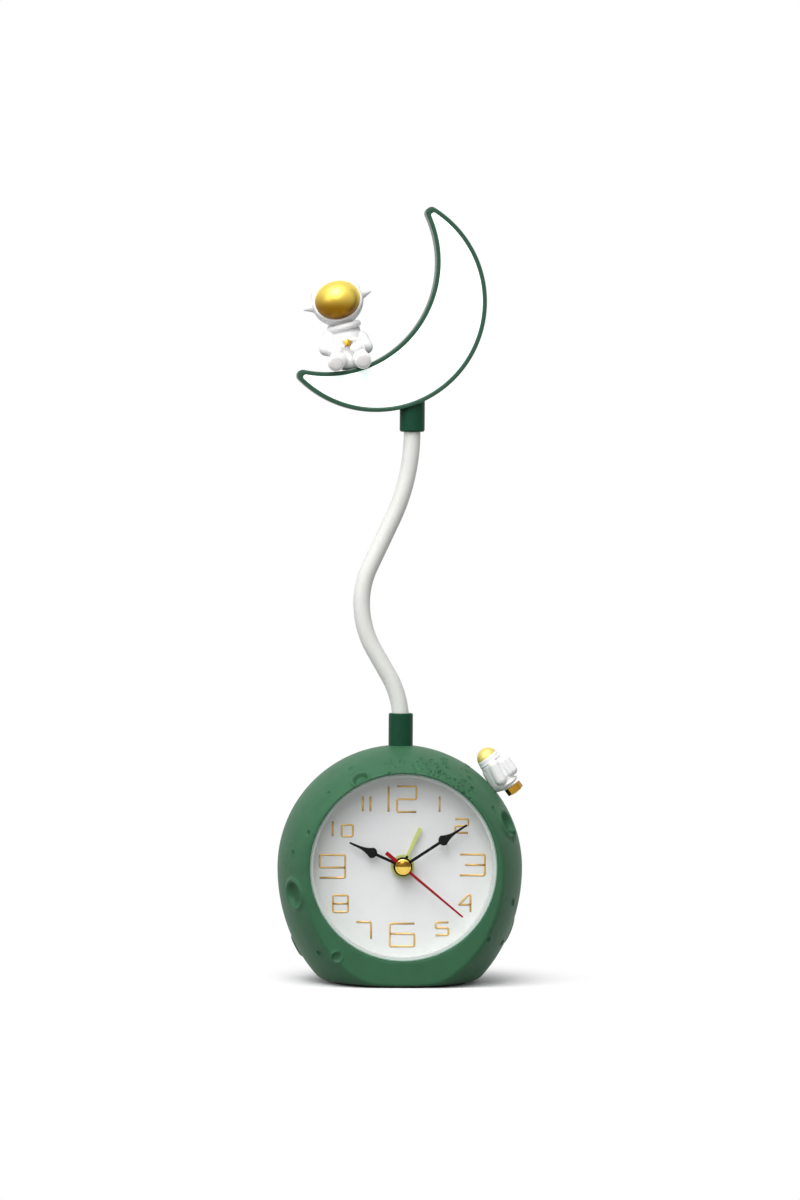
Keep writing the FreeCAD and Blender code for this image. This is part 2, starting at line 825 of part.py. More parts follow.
def hands():
    """Alarm, hour, minute and second hand, and the cap over their middle."""
    mounted_hand("alarm_hand", stick_hand(alarm_hand_length, 0, alarm_hand_width), alarm_hand_y,
                 alarm_boss_radius, alarm_tube_radius, alarm_angle)
    mounted_hand("hour_hand", leaf_hand(hour_hand_length), hour_hand_y,
                 hand_boss_radius, hour_tube_radius, hour_angle)
    mounted_hand("minute_hand", leaf_hand(minute_hand_length), minute_hand_y,
                 hand_boss_radius, cannon_radius, minute_angle)
    mounted_hand("second_hand", stick_hand(second_hand_length, second_hand_tail, second_hand_width),
                 second_hand_y, second_boss_radius, seconds_arbor_radius, second_angle)
    dome = (cap_radius ** 2 + cap_height ** 2) / (2 * cap_height)
    middle = V(0, second_hand_y - cap_height + dome, dial_height)
    cap = Part.makeSphere(dome, middle).common(rod(cap_radius, second_hand_y - cap_height, second_hand_y))
    keep("hand_cap", cap)


# Case of the movement and its electric side

def movement():
    """Two moulded case halves and the plate between them, with holes for every arbor."""
    front = rounded_block(case_width, case_width, case_corner, case_front, middle_front)
    inside = case_width - 2 * case_wall
    front = front.cut(rounded_block(inside, inside, case_corner - case_wall,
                                    case_front + case_plate, middle_back))
    front = front.fuse(rod(bush_radius, case_front - bush_reach, case_front + overrun / 2))
    front = front.cut(rod(alarm_tube_radius + tube_gap, case_front - bush_reach - overrun,
                          case_front + case_plate + overrun))
    keep("movement_front_case", front)
    plate = rounded_block(case_width, case_width, case_corner, middle_front, middle_back)
    holes = [rod(cannon_radius, middle_front - overrun, middle_back + overrun)]
    for place in (rotor_place, intermediate_place, third_place):
        holes.append(rod(train_arbor_radius + pivot_fit, middle_back - middle_plate / 2 - pivot_fit,
                         middle_back + overrun, place))
    for place in (time_knob_place, alarm_knob_place):
        holes.append(rod(knob_shaft_radius + pivot_fit, middle_front - overrun,
                         middle_back + overrun, place))
    plate = plate.cut(holes)
    plate = plate.fuse(rod(post_radius, hour_level - level_gap / 2,
                           middle_front + middle_plate / 2, motion_place))
    keep("movement_middle_plate", plate)
    back = rounded_block(case_width, case_width, case_corner, middle_back, case_back)
    back = back.cut(rounded_block(inside, inside, case_corner - case_wall,
                                  middle_back - overrun, back_plate_front))
    holes = []
    for place in ((0, 0), rotor_place, intermediate_place, third_place):
        holes.append(rod(train_arbor_radius + pivot_fit, back_plate_front - overrun,
                         case_back - case_plate / 2 + pivot_fit, place))
    for place in (time_knob_place, alarm_knob_place):
        holes.append(rod(knob_shaft_radius + pivot_fit, back_plate_front - overrun,
                         case_back + overrun, place))
    keep("movement_back_case", back.cut(holes))


def motor():
    """Stator around the rotor's magnet, the coil on its lower arm, and the circuit board."""
    reach = rotor_magnet_radius + stator_gap
    start = magnet_start + (rotor_magnet_length - stator_thickness) / 2
    end = start + stator_thickness
    x, z = rotor_place
    outer = reach + stator_ring
    coil_z = -case_width / 2 + case_wall + coil_radius + level_gap
    far = x - coil_length - 2 * stator_arm
    arms = [
        rod(outer, start, end, rotor_place),
        panel_block((x, (z + coil_z) / 2), stator_arm, z - coil_z, start, end),
        panel_block(((x + far) / 2, coil_z), x - far + stator_arm, coil_core_width, start, end),
    ]
    stator = arms[0].fuse(arms[1:]).cut(rod(reach, start - overrun, end + overrun, rotor_place))
    keep("stator", stator)
    middle = (start + end) / 2
    coil_start = x - stator_arm / 2 - loose_fit - coil_length
    coil = Part.makeCylinder(coil_radius, coil_length, V(coil_start, middle, dial_height + coil_z), RIGHT)
    core = block(coil_start - overrun, coil_start + coil_length + overrun,
                 start - loose_fit / 2, end + loose_fit / 2,
                 dial_height + coil_z - coil_core_width / 2 - loose_fit / 2,
                 dial_height + coil_z + coil_core_width / 2 + loose_fit / 2)
    keep("coil", coil.cut(core))
    low = -case_width / 2 + case_wall + board_edge
    board = panel_block((low + board_width / 2, low + board_height / 2), board_width, board_height,
                        board_start, back_plate_front)
    keep("clock_board", board)


# Back panel, knobs, switches and cells
tray_half = cell_length / 2 + cell_nub + contact_thickness * 2 + tray_clearance / 2
tray_low = tray_top - 2 * cell_radius - 2 * tray_clearance
cell_up = tray_low + cell_radius + loose_fit
cell_y = panel_front - tray_depth_margin - cell_radius
tray_back = cell_y - cell_radius - tray_clearance


def tray_block(grow, start, end):
    """Block of the battery opening, grown by a wall."""
    return block(-tray_half - grow, tray_half + grow, start, end,
                 dial_height + tray_low - grow, dial_height + tray_top + grow)


def back_panel():
    """Round panel with its battery tray and the holes for knobs, switch, button, socket and sound."""
    panel = rod(panel_radius, panel_front, back_plane)
    panel = panel.fuse(tray_block(tray_wall, tray_back - tray_wall, panel_front + overrun / 2))
    through = back_plane + overrun
    cuts = [tray_block(0, tray_back, through)]
    for place in (time_knob_place, alarm_knob_place):
        cuts.append(rod(knob_shaft_radius + bush_hole_fit, panel_front - overrun, through, place))
    slot_middle = (switch_place[0] + switch_travel / 2, switch_place[1])
    cuts.append(panel_block(slot_middle, switch_stem_width + switch_travel + 2 * slide_fit,
                            switch_stem_height + 2 * slide_fit, panel_front - overrun, through))
    cuts.append(rod(button_radius + slide_fit, panel_front - overrun, through, button_place))
    cuts.append(panel_block((0, usb_place_height), usb_width + slide_fit, usb_height + slide_fit,
                            panel_front - overrun, through))
    for number in range(sound_hole_count):
        place = toward(360 * number / sound_hole_count, sound_hole_circle, buzzer_place)
        cuts.append(rod(sound_hole_radius, panel_front - overrun, through, place))
    cuts.append(rod(sound_hole_radius, panel_front - overrun, through, buzzer_place))
    for angle in screw_angles:
        place = toward(angle, screw_circle)
        cuts.append(rod(screw_shank_radius + loose_fit, panel_front - overrun, through, place))
        cuts.append(rod(screw_head_radius + loose_fit, back_plane - screw_head_height - loose_fit,
                        through, place))
    keep("back_panel", panel.cut(cuts))
    door_half = tray_half - slide_fit
    door = block(-door_half, door_half, back_plane - door_thickness, back_plane,
                 dial_height + tray_low + slide_fit, dial_height + tray_top - slide_fit)
    grips = []
    for number in range(door_grips):
        z = dial_height + (tray_low + tray_top) / 2 + (number - (door_grips - 1) / 2) * 2 * door_grip_height
        grips.append(block(-door_grip_width / 2, door_grip_width / 2, back_plane - door_grip_depth,
                           back_plane + overrun, z - door_grip_height / 2, z + door_grip_height / 2))
    keep("battery_door", door.cut(grips))


def knob(name, place, level, pinion):
    """Fluted knob with its shaft, down to the level of the pinion that it turns."""
    start = back_plane + knob_lift
    body = rod(knob_radius, start, start + knob_height, place)
    body = body.makeFillet(knob_edge, rim_edges(body, start + knob_height, knob_radius))
    flutes = []
    for number in range(knob_flutes):
        spot = toward(360 * number / knob_flutes, knob_radius + flute_radius / 2, place)
        flutes.append(rod(flute_radius, start - overrun, start + knob_height + overrun, spot))
    shaft = rod(knob_shaft_radius, level, start + overrun, place)
    keep(name, body.cut(flutes).fuse([shaft, pinion]))


def controls():
    """Knobs for time and alarm, the alarm's slide switch and the lamp's button."""
    knob("time_knob", time_knob_place, motion_level,
         gear(motion_module, pinion_teeth, time_pinion_phase, time_knob_place, motion_level, 0))
    knob("alarm_knob", alarm_knob_place, alarm_level,
         gear(hour_module, pinion_teeth, alarm_pinion_phase, alarm_knob_place, alarm_level, 0))
    stem = panel_block(switch_place, switch_stem_width, switch_stem_height,
                       panel_front - switch_flange - loose_fit, back_plane + switch_lift)
    cap = panel_block(switch_place, switch_width, switch_height,
                      back_plane + loose_fit, back_plane + switch_lift)
    foot = panel_block(switch_place, switch_width, switch_height,
                       panel_front - switch_flange - loose_fit, panel_front - loose_fit)
    keep("alarm_switch", stem.fuse([cap, foot]))
    button = rod(button_radius, panel_front - loose_fit - overrun / 2,
                 back_plane + button_lift, button_place)
    foot = rod(button_radius + button_flange,
               panel_front - loose_fit - button_flange, panel_front - loose_fit,
               button_place)
    button = button.fuse(foot)
    button = button.makeFillet(knob_edge, rim_edges(button, back_plane + button_lift, button_radius))
    keep("lamp_button", button)


def electrics():
    """Buzzer, cells, contacts, lamp board and its socket."""
    keep("buzzer", rod(buzzer_radius, panel_front - buzzer_thickness, panel_front, buzzer_place))
    low = dial_height + cell_up
    left = -cell_length / 2
    cell = Part.makeCylinder(cell_radius, cell_length, V(left, cell_y, low), RIGHT)
    nub = Part.makeCylinder(cell_nub_radius, cell_nub + overrun, V(-left - overrun, cell_y, low), RIGHT)
    keep("clock_battery", cell.fuse(nub))
    contacts = []
    for inner in (left - contact_thickness - loose_fit, -left + cell_nub + loose_fit):
        contacts.append(block(inner, inner + contact_thickness, cell_y - contact_height / 2,
                              cell_y + contact_height / 2, low - contact_height / 2, low + contact_height / 2))
    keep("battery_contacts", Part.makeCompound(contacts))
    middle = dial_height + usb_place_height
    start = back_plane - usb_depth
    socket = panel_block((0, usb_place_height), usb_width, usb_height, start, back_plane)
    socket = socket.makeFillet(usb_corner, edges_along(socket, BACK))
    mouth = panel_block((0, usb_place_height), usb_width - 2 * usb_wall, usb_height - 2 * usb_wall,
                        start + usb_tongue_setback, back_plane + overrun)
    mouth = mouth.makeFillet(usb_corner - usb_wall, edges_along(mouth, BACK))
    tongue = panel_block((0, usb_place_height), usb_width - 2 * usb_corner, usb_tongue_height,
                         start + usb_tongue_setback / 2, back_plane - usb_tongue_setback)
    keep("usb_socket", socket.cut(mouth).fuse(tongue))
    board_top = middle - usb_height / 2
    board_back = back_plane - back_ledge_depth - loose_fit
    board = block(-lamp_board_width / 2, lamp_board_width / 2, board_back - lamp_board_length, board_back,
                  board_top - board_thickness, board_top)
    keep("lamp_board", board)


def screws():
    """Four slotted screws that hold the back panel."""
    group = []
    for angle in screw_angles:
        place = toward(angle, screw_circle)
        head_start = back_plane - screw_head_height
        head = rod(screw_head_radius, head_start, back_plane, place)
        shank = rod(screw_shank_radius, back_plane - screw_length, head_start, place)
        slot = panel_block(place, 2 * screw_head_radius + overrun, screw_slot_width,
                           back_plane - screw_slot_depth, back_plane + overrun)
        group.append(head.fuse(shank).cut(slot))
    keep("panel_screws", Part.makeCompound(group))


def foot():
    """Foot pad, the steel weight above it and the lamp's rechargeable cell."""
    keep("foot_pad", post(pad_radius, 0, shell_floor + pad_recess))
    low = shell_floor + wall
    keep("ballast_weight", post(ballast_radius, low, low + ballast_thickness))
    top = low + ballast_thickness
    cell = block(-lamp_cell_length / 2, lamp_cell_length / 2, -lamp_cell_width / 2, lamp_cell_width / 2,
                 top, top + lamp_cell_height)
    keep("lamp_cell", cell.makeFillet(lamp_cell_corner, edges_along(cell, UP)))


# Flexible neck
neck_foot = ball_height + ball_radius + lower_collar_height - sleeve_depth


def neck_spans():
    """Neck as spans: start length, length, bend radius, turn, and the start's place and lean."""
    spans = []
    at, x, z, lean = 0.0, 0.0, neck_foot, 0.0
    for straight, radius, turn in neck_runs:
        if straight:
            spans.append((at, straight, 0, 0, x, z, lean))
            x += straight * math.sin(lean)
            z += straight * math.cos(lean)
            at += straight
        if radius:
            bend = math.radians(turn)
            length = abs(bend) * radius
            spans.append((at, length, radius, bend, x, z, lean))
            side = math.copysign(radius, bend)
            x += side * (math.cos(lean) - math.cos(lean + bend))
            z += side * (math.sin(lean + bend) - math.sin(lean))
            at += length
            lean += bend
    return spans, at


spans, neck_length = neck_spans()


def neck_at(at):
    """Point and direction of the neck's middle line at a length along it."""
    for start, length, radius, bend, x, z, lean in spans:
        if at <= start + length or start + length >= neck_length:
            break
    along = at - start
    if radius:
        turn = bend * along / length
        side = math.copysign(radius, bend)
        point = V(x + side * (math.cos(lean) - math.cos(lean + turn)), 0,
                  z + side * (math.sin(lean + turn) - math.sin(lean)))
        lean += turn
    else:
        point = V(x + along * math.sin(lean), 0, z + along * math.cos(lean))
    return point, V(math.sin(lean), 0, math.cos(lean))


def neck_rod(radius, start, end):
    """Round bar along the neck's middle line between two lengths."""
    edges = []
    for low, length, bend_radius, bend, x, z, lean in spans:
        a, b = max(start, low), min(end, low + length)
        if start < 0 and low == 0:
            a = start
        if b - a < pivot_fit:
            continue
        first, last = neck_at(a)[0], neck_at(b)[0]
        if bend_radius:
            edges.append(Part.Arc(first, neck_at((a + b) / 2)[0], last).toShape())
        else:
            edges.append(Part.LineSegment(first, last).toShape())
    path = Part.Wire(edges)
    point, along = neck_at(start)
    section = Part.Wire(Part.Circle(point, along, radius).toShape())
    return path.makePipeShell([section], True, False)


def knuckle_axis(number, along):
    """Pin direction of one knuckle: across the neck, and every second one along its sway."""
    return BACK if number % 2 == 0 else BACK.cross(along)


def oriented_block(middle, axis, along, half_axis, half_side, start, end):
    """Block with one pair of faces across a pin's axis, between two lengths along the neck."""
    shape = Part.makeBox(2 * half_side, 2 * half_axis, end - start, V(-half_side, -half_axis, start))
    side = axis.cross(along)
    matrix = FreeCAD.Matrix(side.x, axis.x, along.x, middle.x, side.y, axis.y, along.y, middle.y,
                            side.z, axis.z, along.z, middle.z, 0, 0, 0, 1)
    shape.transformShape(matrix)
    return shape


def cheek(middle, axis, radius, start, end):
    """Disc about a knuckle's pin."""
    return Part.makeCylinder(radius, end - start, middle + axis * start, axis)


knuckles = []
for number in range(knuckle_count):
    point, along = neck_at(first_knuckle + number * knuckle_pitch)
    knuckles.append((point, along, knuckle_axis(number, along)))


def tongue(number):
    """Bored tongue at the top of a link."""
    point, along, axis = knuckles[number]
    disc = cheek(point, axis, knuckle_radius, -knuckle_half_tongue, knuckle_half_tongue)
    web = oriented_block(point, axis, along, knuckle_half_tongue, knuckle_web,
                         -knuckle_reach - core_radius / 2, 0)
    hole = cheek(point, axis, knuckle_pin_radius + pivot_fit, -knuckle_half_width, knuckle_half_width)
    return disc.fuse(web).cut(hole)


def fork(number):
    """Two cheeks and their pin at the foot of a link."""
    point, along, axis = knuckles[number]
    gap = knuckle_half_tongue + pivot_fit
    shapes = [cheek(point, axis, knuckle_pin_radius, -knuckle_half_width, knuckle_half_width)]
    for start, end in ((-knuckle_half_width, -gap), (gap, knuckle_half_width)):
        disc = cheek(point, axis, knuckle_radius, start, end)
        middle = point + axis * ((start + end) / 2)
        web = oriented_block(middle, axis, along, (end - start) / 2, knuckle_web,
                             0, knuckle_reach + core_radius / 2)
        shapes += [disc, web]
    return shapes[0].fuse(shapes[1:])


def neck():
    """Collar on the body, the jointed core, and the soft sleeve over it."""
    top = ball_height + ball_radius + lower_collar_height
    seat = ball_height + ball_radius - wall - collar_seat_drop
    collar = post(lower_collar_radius, seat - collar_flange, top)
    rim = [edge for edge in collar.Edges if edge.BoundBox.ZMin > top - loose_fit]
    collar = collar.makeFillet(lower_collar_edge, rim)
    collar = collar.fuse(post(collar_flange_radius, seat - collar_flange, seat))
    collar = collar.cut([
        post(core_radius + loose_fit, seat - collar_flange - overrun, top),
        post(sleeve_radius + loose_fit, neck_foot - loose_fit, top + overrun),
    ])
    keep("lower_collar", collar)
    sleeve_end = neck_length - sleeve_end_short
    bore = neck_rod(sleeve_bore, -overrun, sleeve_end + overrun)
    sleeve = neck_rod(sleeve_radius, 0, sleeve_end).cut(bore)
    keep("neck_sleeve", sleeve)
    print("neck sleeve", round(sleeve.Volume, 1), "section times length",
          round(math.pi * (sleeve_radius ** 2 - sleeve_bore ** 2) * sleeve_end, 1))
    for number in range(knuckle_count + 1):
        low = first_knuckle + (number - 1) * knuckle_pitch + knuckle_reach if number else -core_foot
        high = neck_length
        if number < knuckle_count:
            high = first_knuckle + number * knuckle_pitch - knuckle_reach
        link = neck_rod(core_radius, low, high)
        ends = []
        if number < knuckle_count:
            ends.append(tongue(number))
        if number:
            ends.append(fork(number - 1))
        keep("neck_core_%d" % number, link.fuse(ends))


# Crescent lamp
neck_top = neck_at(neck_length)[0]
moon_middle = (neck_top.x - moon_middle_left, neck_top.z + moon_middle_up - neck_straight_end)
bite_middle = (moon_middle[0] - bite_left, moon_middle[1] + bite_up)


def on_outer_arc(edge, shrink):
    """Whether an edge across the crescent lies on its outer arc."""
    x, z = moon_middle
    spot = V(edge.CenterOfMass.x - x, 0, edge.CenterOfMass.z - z)
    return abs(spot.Length - moon_radius + shrink) < pivot_fit


def crescent(shrink, tip_radius, start, end):
    """Crescent plate, shrunk all round, with rounded tips."""
    x, z = moon_middle
    full = Part.makeCylinder(moon_radius - shrink, end - start, V(x, start, z), BACK)
    x, z = bite_middle
    bite = Part.makeCylinder(moon_bite_radius + shrink, end - start + 2 * overrun,
                             V(x, start - overrun, z), BACK)
    plate = full.cut(bite)
    sharp = [edge for edge in edges_along(plate, BACK) if on_outer_arc(edge, shrink)]
    return plate.makeFillet(tip_radius, sharp)


def lamp():
    """Crescent frame, its white diffuser, the light board behind it, and the collar on the neck."""
    front, back = -moon_depth / 2, moon_depth / 2
    frame = crescent(0, moon_tip_radius, front, back)
    frame = frame.cut(crescent(moon_rim, diffuser_tip_radius, front - overrun, back - moon_back))
    keep("moon_frame", frame)
    start = front + diffuser_setback
    end = start + diffuser_thickness
    keep("moon_diffuser", crescent(moon_rim + loose_fit, diffuser_tip_radius, start, end))
    board_back = back - moon_back
    board_front = board_back - light_board_thickness
    board = crescent(light_board_margin, light_board_tip_radius, board_front, board_back)
    lights = []
    toward_thick = math.degrees(math.atan2(moon_middle[0] - bite_middle[0],
                                           moon_middle[1] - bite_middle[1]))
    ring_radius = moon_radius - moon_thickness / 2
    for number in range(light_count):
        angle = toward_thick + light_spread * (number / (light_count - 1) - 1 / 2)
        x, z = toward(angle, ring_radius, moon_middle)
        lights.append(block(x - light_size / 2, x + light_size / 2, board_front - light_height, board_front,
                            z - light_size / 2, z + light_size / 2))
    keep("light_board", board.fuse(lights))
    low = neck_top.z - neck_straight_end
    high = moon_middle[1]
    collar = post(upper_collar_radius, low, high, neck_top.x)
    rim = [edge for edge in collar.Edges if edge.BoundBox.ZMax < low + loose_fit]
    collar = collar.makeFillet(upper_collar_edge, rim)
    x, z = moon_middle
    collar = collar.cut([
        Part.makeCylinder(moon_radius, 2 * moon_depth, V(x, -moon_depth, z), BACK),
        post(sleeve_radius + loose_fit, low - overrun, neck_top.z - sleeve_end_short + loose_fit, neck_top.x),
        post(core_radius + loose_fit, low, neck_top.z + loose_fit, neck_top.x),
    ])
    solids = sorted(collar.Solids, key=lambda solid: solid.BoundBox.ZMin)
    keep("upper_collar", solids[0])


moon_thickness = moon_radius - moon_bite_radius + math.hypot(bite_left, bite_up)


# Figures

def star(radius, thickness, middle, facing):
    """Pointed badge with its face turned to a direction."""
    points = []
    for number in range(2 * star_points):
        reach = radius * star_inner_share if number % 2 else radius
        turn = math.pi * number / star_points
        points.append(V(reach * math.sin(turn), reach * math.cos(turn), 0))
    face = Part.Face(Part.makePolygon(points + points[:1]))
    badge = face.extrude(UP * thickness)
    badge.Placement = FreeCAD.Placement(middle, FreeCAD.Rotation(UP, facing))
    return badge


def seated_figure():
    """White figure in a space suit that sits on the crescent with its legs forward."""
    seat_z = bite_middle[1] - math.sqrt(moon_bite_radius ** 2 - (figure_side - bite_middle[0]) ** 2)
    base = V(figure_side, 0, seat_z)

    def at(place, mirror=False):
        return base + V(-place[0] if mirror else place[0], place[1], place[2])

    head = at(helmet_place)
    shapes = [Part.makeSphere(helmet_radius, head), limb(at(torso_low), at(torso_high), torso_radius)]
    for side in (-pack_side, pack_side):
        shapes.append(limb(at(pack_low) + RIGHT * side, at(pack_high) + RIGHT * side, pack_radius))
    shapes.append(Part.makeTorus(collar_ring_radius, collar_ring_wire, at(collar_ring_place), UP))
    tilt = math.radians(head_tilt)
    for mirror in (False, True):
        lean = RIGHT * -arm_lean
        shapes.append(limb(at(shoulder, mirror) + lean, at(elbow, mirror) + lean, arm_radius))
        shapes.append(limb(at(elbow, mirror) + lean, at(hand_place, mirror) + lean, arm_radius))
        shapes.append(limb(at(hip, mirror), at(knee, mirror), leg_radius))
        shapes.append(limb(at(knee, mirror), at(boot_ankle, mirror), leg_radius))
        shapes.append(limb(at(boot_ankle, mirror), at(boot_toe, mirror), boot_radius))
        side = V(math.cos(tilt), 0, math.sin(tilt)) * (-1 if mirror else 1)
        shapes.append(Part.makeCone(ear_radius, ear_tip_radius, ear_reach - ear_start,
                                    head + side * ear_start, side))
    body = shapes[0].fuse(shapes[1:])
    x, z = bite_middle
    hollow = Part.makeCylinder(moon_bite_radius - pivot_fit, 2 * moon_depth, V(x, -moon_depth, z), BACK)
    front = block(base.x - moon_radius, base.x + moon_radius, -moon_radius, -moon_depth / 2 - pivot_fit,
                  base.z - moon_radius, base.z + moon_radius)
    body = body.common(hollow.fuse(front))
    oval = FreeCAD.Matrix(1, 0, 0, 0, 0, 1, 0, 0, 0, 0, visor_squash_share, 0, 0, 0, 0, 1)
    visor = Part.makeSphere(visor_radius).transformGeometry(oval)
    visor.rotate(V(0, 0, 0), BACK, -head_tilt)
    visor.translate(head - BACK * visor_bulge)
    reach = 2 * helmet_radius
    front = block(head.x - reach, head.x + reach, head.y - reach, head.y - helmet_radius * visor_plane_share,
                  head.z - reach, head.z + reach)
    visor = visor.common(front)
    body = body.cut(visor)
    keep("seated_figure_visor", visor)
    badge = star(star_radius, star_thickness, at(star_place), -BACK)
    body = body.cut(badge)
    keep("seated_figure_body", body)
    keep("seated_figure_star", badge)


def lying_figure():
    """Small white figure in a space suit that lies on the upper right of the body."""
    turn = math.radians(lying_angle)
    contact = V(math.sin(turn), 0, math.cos(turn)) * math.sqrt(ball_radius ** 2 - lying_forward ** 2)
    base = V(0, -lying_forward, ball_height) + contact
    turn = math.radians(lying_angle + lying_lean)
    out = V(math.sin(turn), 0, math.cos(turn))
    along = V(-math.cos(turn), 0, math.sin(turn))

    def at(length, lift, side=0):
        return base + along * length + out * lift + BACK * side

    head = at(lying_head_along, lying_head_lift)
    ring_start = at(lying_ring_start, lying_ring_lift)
    shapes = [
        Part.makeSphere(lying_head_radius, head),
        limb(at(lying_body_start, lying_body_lift), at(lying_body_end, lying_body_lift), lying_body_radius),
        Part.makeCylinder(lying_ring_radius, lying_ring_start - lying_ring_end, ring_start, -along),
    ]
    for side in (-1, 1):
        leg, arm, pack = side * lying_leg_side, side * lying_arm_side, side * lying_pack_radius / 2
        shapes.append(limb(at(lying_body_end, lying_leg_lift, leg), at(lying_leg_end, lying_leg_lift, leg),
                           lying_leg_radius))
        shapes.append(limb(at(lying_body_end, lying_foot_lift, leg), at(lying_leg_end, lying_foot_lift, leg),
                           lying_foot_radius))
        shapes.append(limb(at(lying_body_start, lying_body_lift, arm), at(lying_body_end, lying_leg_lift, arm),
                           lying_arm_radius))
        shapes.append(limb(at(lying_pack_start, lying_pack_lift, pack), at(lying_pack_end, lying_pack_lift, pack),
                           lying_pack_radius))
    body = shapes[0].fuse(shapes[1:])
    body = body.cut(ball(-pivot_fit, shell_floor))
    visor = Part.makeSphere(lying_visor_radius, head + along * lying_visor_bulge)
    visor = visor.common(oriented_block(head, BACK, along, lying_head_radius, lying_head_radius,
                                        lying_visor_start, 2 * lying_head_radius))
    keep("lying_figure_visor", visor)
    keep("lying_figure_body", body.cut(visor))
    tail = at(lying_ring_end, lying_ring_lift)
    keep("lying_figure_star", star(lying_star_radius, lying_star_thickness, tail, -along))


shells()
window_and_dial()
numerals()
train()
motion_work()
hands()
movement()
motor()
back_panel()
controls()
electrics()
screws()
foot()
neck()
lamp()
seated_figure()
lying_figure()

os.makedirs("parts", exist_ok=True)
for name, shape in sorted(parts.items()):
    shape.exportStep("parts/%s.step" % name)
    print("%-24s %3d solids  valid %s  %10.2f mm3" % (name, len(shape.Solids), shape.isValid(), shape.Volume))
print(len(parts), "pieces")
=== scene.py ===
import math
import random

import bmesh
import bpy
import numpy as np
from mathutils import Matrix, Vector


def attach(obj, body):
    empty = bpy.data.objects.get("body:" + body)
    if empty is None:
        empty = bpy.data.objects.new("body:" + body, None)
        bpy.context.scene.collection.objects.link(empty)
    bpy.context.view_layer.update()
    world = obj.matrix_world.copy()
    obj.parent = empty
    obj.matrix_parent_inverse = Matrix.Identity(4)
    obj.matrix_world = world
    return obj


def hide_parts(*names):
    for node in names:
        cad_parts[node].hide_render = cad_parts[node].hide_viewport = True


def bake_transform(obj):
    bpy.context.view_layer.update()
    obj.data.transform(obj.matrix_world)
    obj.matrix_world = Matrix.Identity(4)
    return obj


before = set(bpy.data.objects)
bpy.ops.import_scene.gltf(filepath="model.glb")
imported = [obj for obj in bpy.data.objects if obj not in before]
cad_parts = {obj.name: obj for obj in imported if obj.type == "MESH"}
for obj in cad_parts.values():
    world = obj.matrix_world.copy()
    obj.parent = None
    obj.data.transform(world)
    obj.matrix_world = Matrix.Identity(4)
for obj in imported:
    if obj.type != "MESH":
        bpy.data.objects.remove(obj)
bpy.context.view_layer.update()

scene = bpy.context.scene
scene.view_settings.view_transform = "Standard"
mm = 0.001


# The white table that the clock stands on, with soft light from above, and the
# camera in front, a little to the left and a little higher than the clock.
room_light = 0.37
table_tone = 0.96
table_half = 3.0
white_starts = 0.025
white_full = 0.10
table_bounce = 0.25
lamps = (
    ((-0.38, -0.78, 1.65), 1.2, 28.0),
    ((-0.30, -1.90, 1.30), 1.2, 12.0),
    ((-1.4, -1.1, 0.7), 0.9, 6.0),
)
lamp_aim = Vector((0, 0, 0.15))
camera_distance = 2.5
camera_height = 0.235
camera_turn = math.radians(-3.2)
camera_roll = math.radians(0.4)
camera_aim = Vector((-0.0007, 0, 0.1646))
frame_height = 0.5185
film = 36.0


def add(tree, kind, inputs=None, **settings):
    """New node with its settings, and its inputs set to a value or joined to a socket."""
    made = tree.nodes.new("ShaderNode" + kind)
    for key, value in settings.items():
        setattr(made, key, value)
    for key, value in (inputs or {}).items():
        if isinstance(value, bpy.types.NodeSocket):
            tree.links.new(value, made.inputs[key])
        else:
            made.inputs[key].default_value = value
    return made


def seen_as_backdrop(tree):
    """Share that is 1 for what the camera sees directly, in gloss or through something clear."""
    path = add(tree, "LightPath").outputs
    direct = add(tree, "Math", {0: path["Is Camera Ray"], 1: path["Is Glossy Ray"]}, operation="ADD")
    clear = {0: direct.outputs[0], 1: path["Is Transmission Ray"]}
    return add(tree, "Math", clear, operation="ADD", use_clamp=True).outputs[0]


world = bpy.data.worlds.new("studio")
scene.world = world
world.use_nodes = True
tree = world.node_tree
tree.nodes.clear()
soft = add(tree, "Background", {"Color": (1, 1, 1, 1), "Strength": room_light})
white = add(tree, "Background", {"Color": (1, 1, 1, 1), "Strength": 1.0})
sky = add(tree, "MixShader", {0: seen_as_backdrop(tree), 1: soft.outputs[0], 2: white.outputs[0]})
add(tree, "OutputWorld", {"Surface": sky.outputs[0]})

bm = bmesh.new()
bmesh.ops.create_grid(bm, x_segments=8, y_segments=8, size=table_half)
table_mesh = bpy.data.meshes.new("table_top")
bm.to_mesh(table_mesh)
bm.free()
table = bpy.data.objects.new("table_top", table_mesh)
scene.collection.objects.link(table)
paper = bpy.data.materials.new("white_paper")
paper.use_nodes = True
tree = paper.node_tree
tree.nodes.clear()
place = add(tree, "TexCoord").outputs["Object"]
away = add(tree, "VectorMath", {0: place}, operation="LENGTH").outputs["Value"]
fade = add(tree, "MapRange", {"Value": away, "From Min": white_starts, "From Max": white_full},
           interpolation_type="SMOOTHSTEP").outputs[0]
share = add(tree, "Math", {0: fade, 1: seen_as_backdrop(tree)}, operation="MULTIPLY").outputs[0]
tones = {"Value": seen_as_backdrop(tree), "To Min": table_bounce, "To Max": table_tone}
seen = add(tree, "MapRange", tones).outputs[0]
matt = add(tree, "BsdfDiffuse", {"Color": seen})
plain = add(tree, "Emission", {"Color": (1, 1, 1, 1), "Strength": 1.0})
both = add(tree, "MixShader", {0: share, 1: matt.outputs[0], 2: plain.outputs[0]})
add(tree, "OutputMaterial", {"Surface": both.outputs[0]})
table_mesh.materials.append(paper)

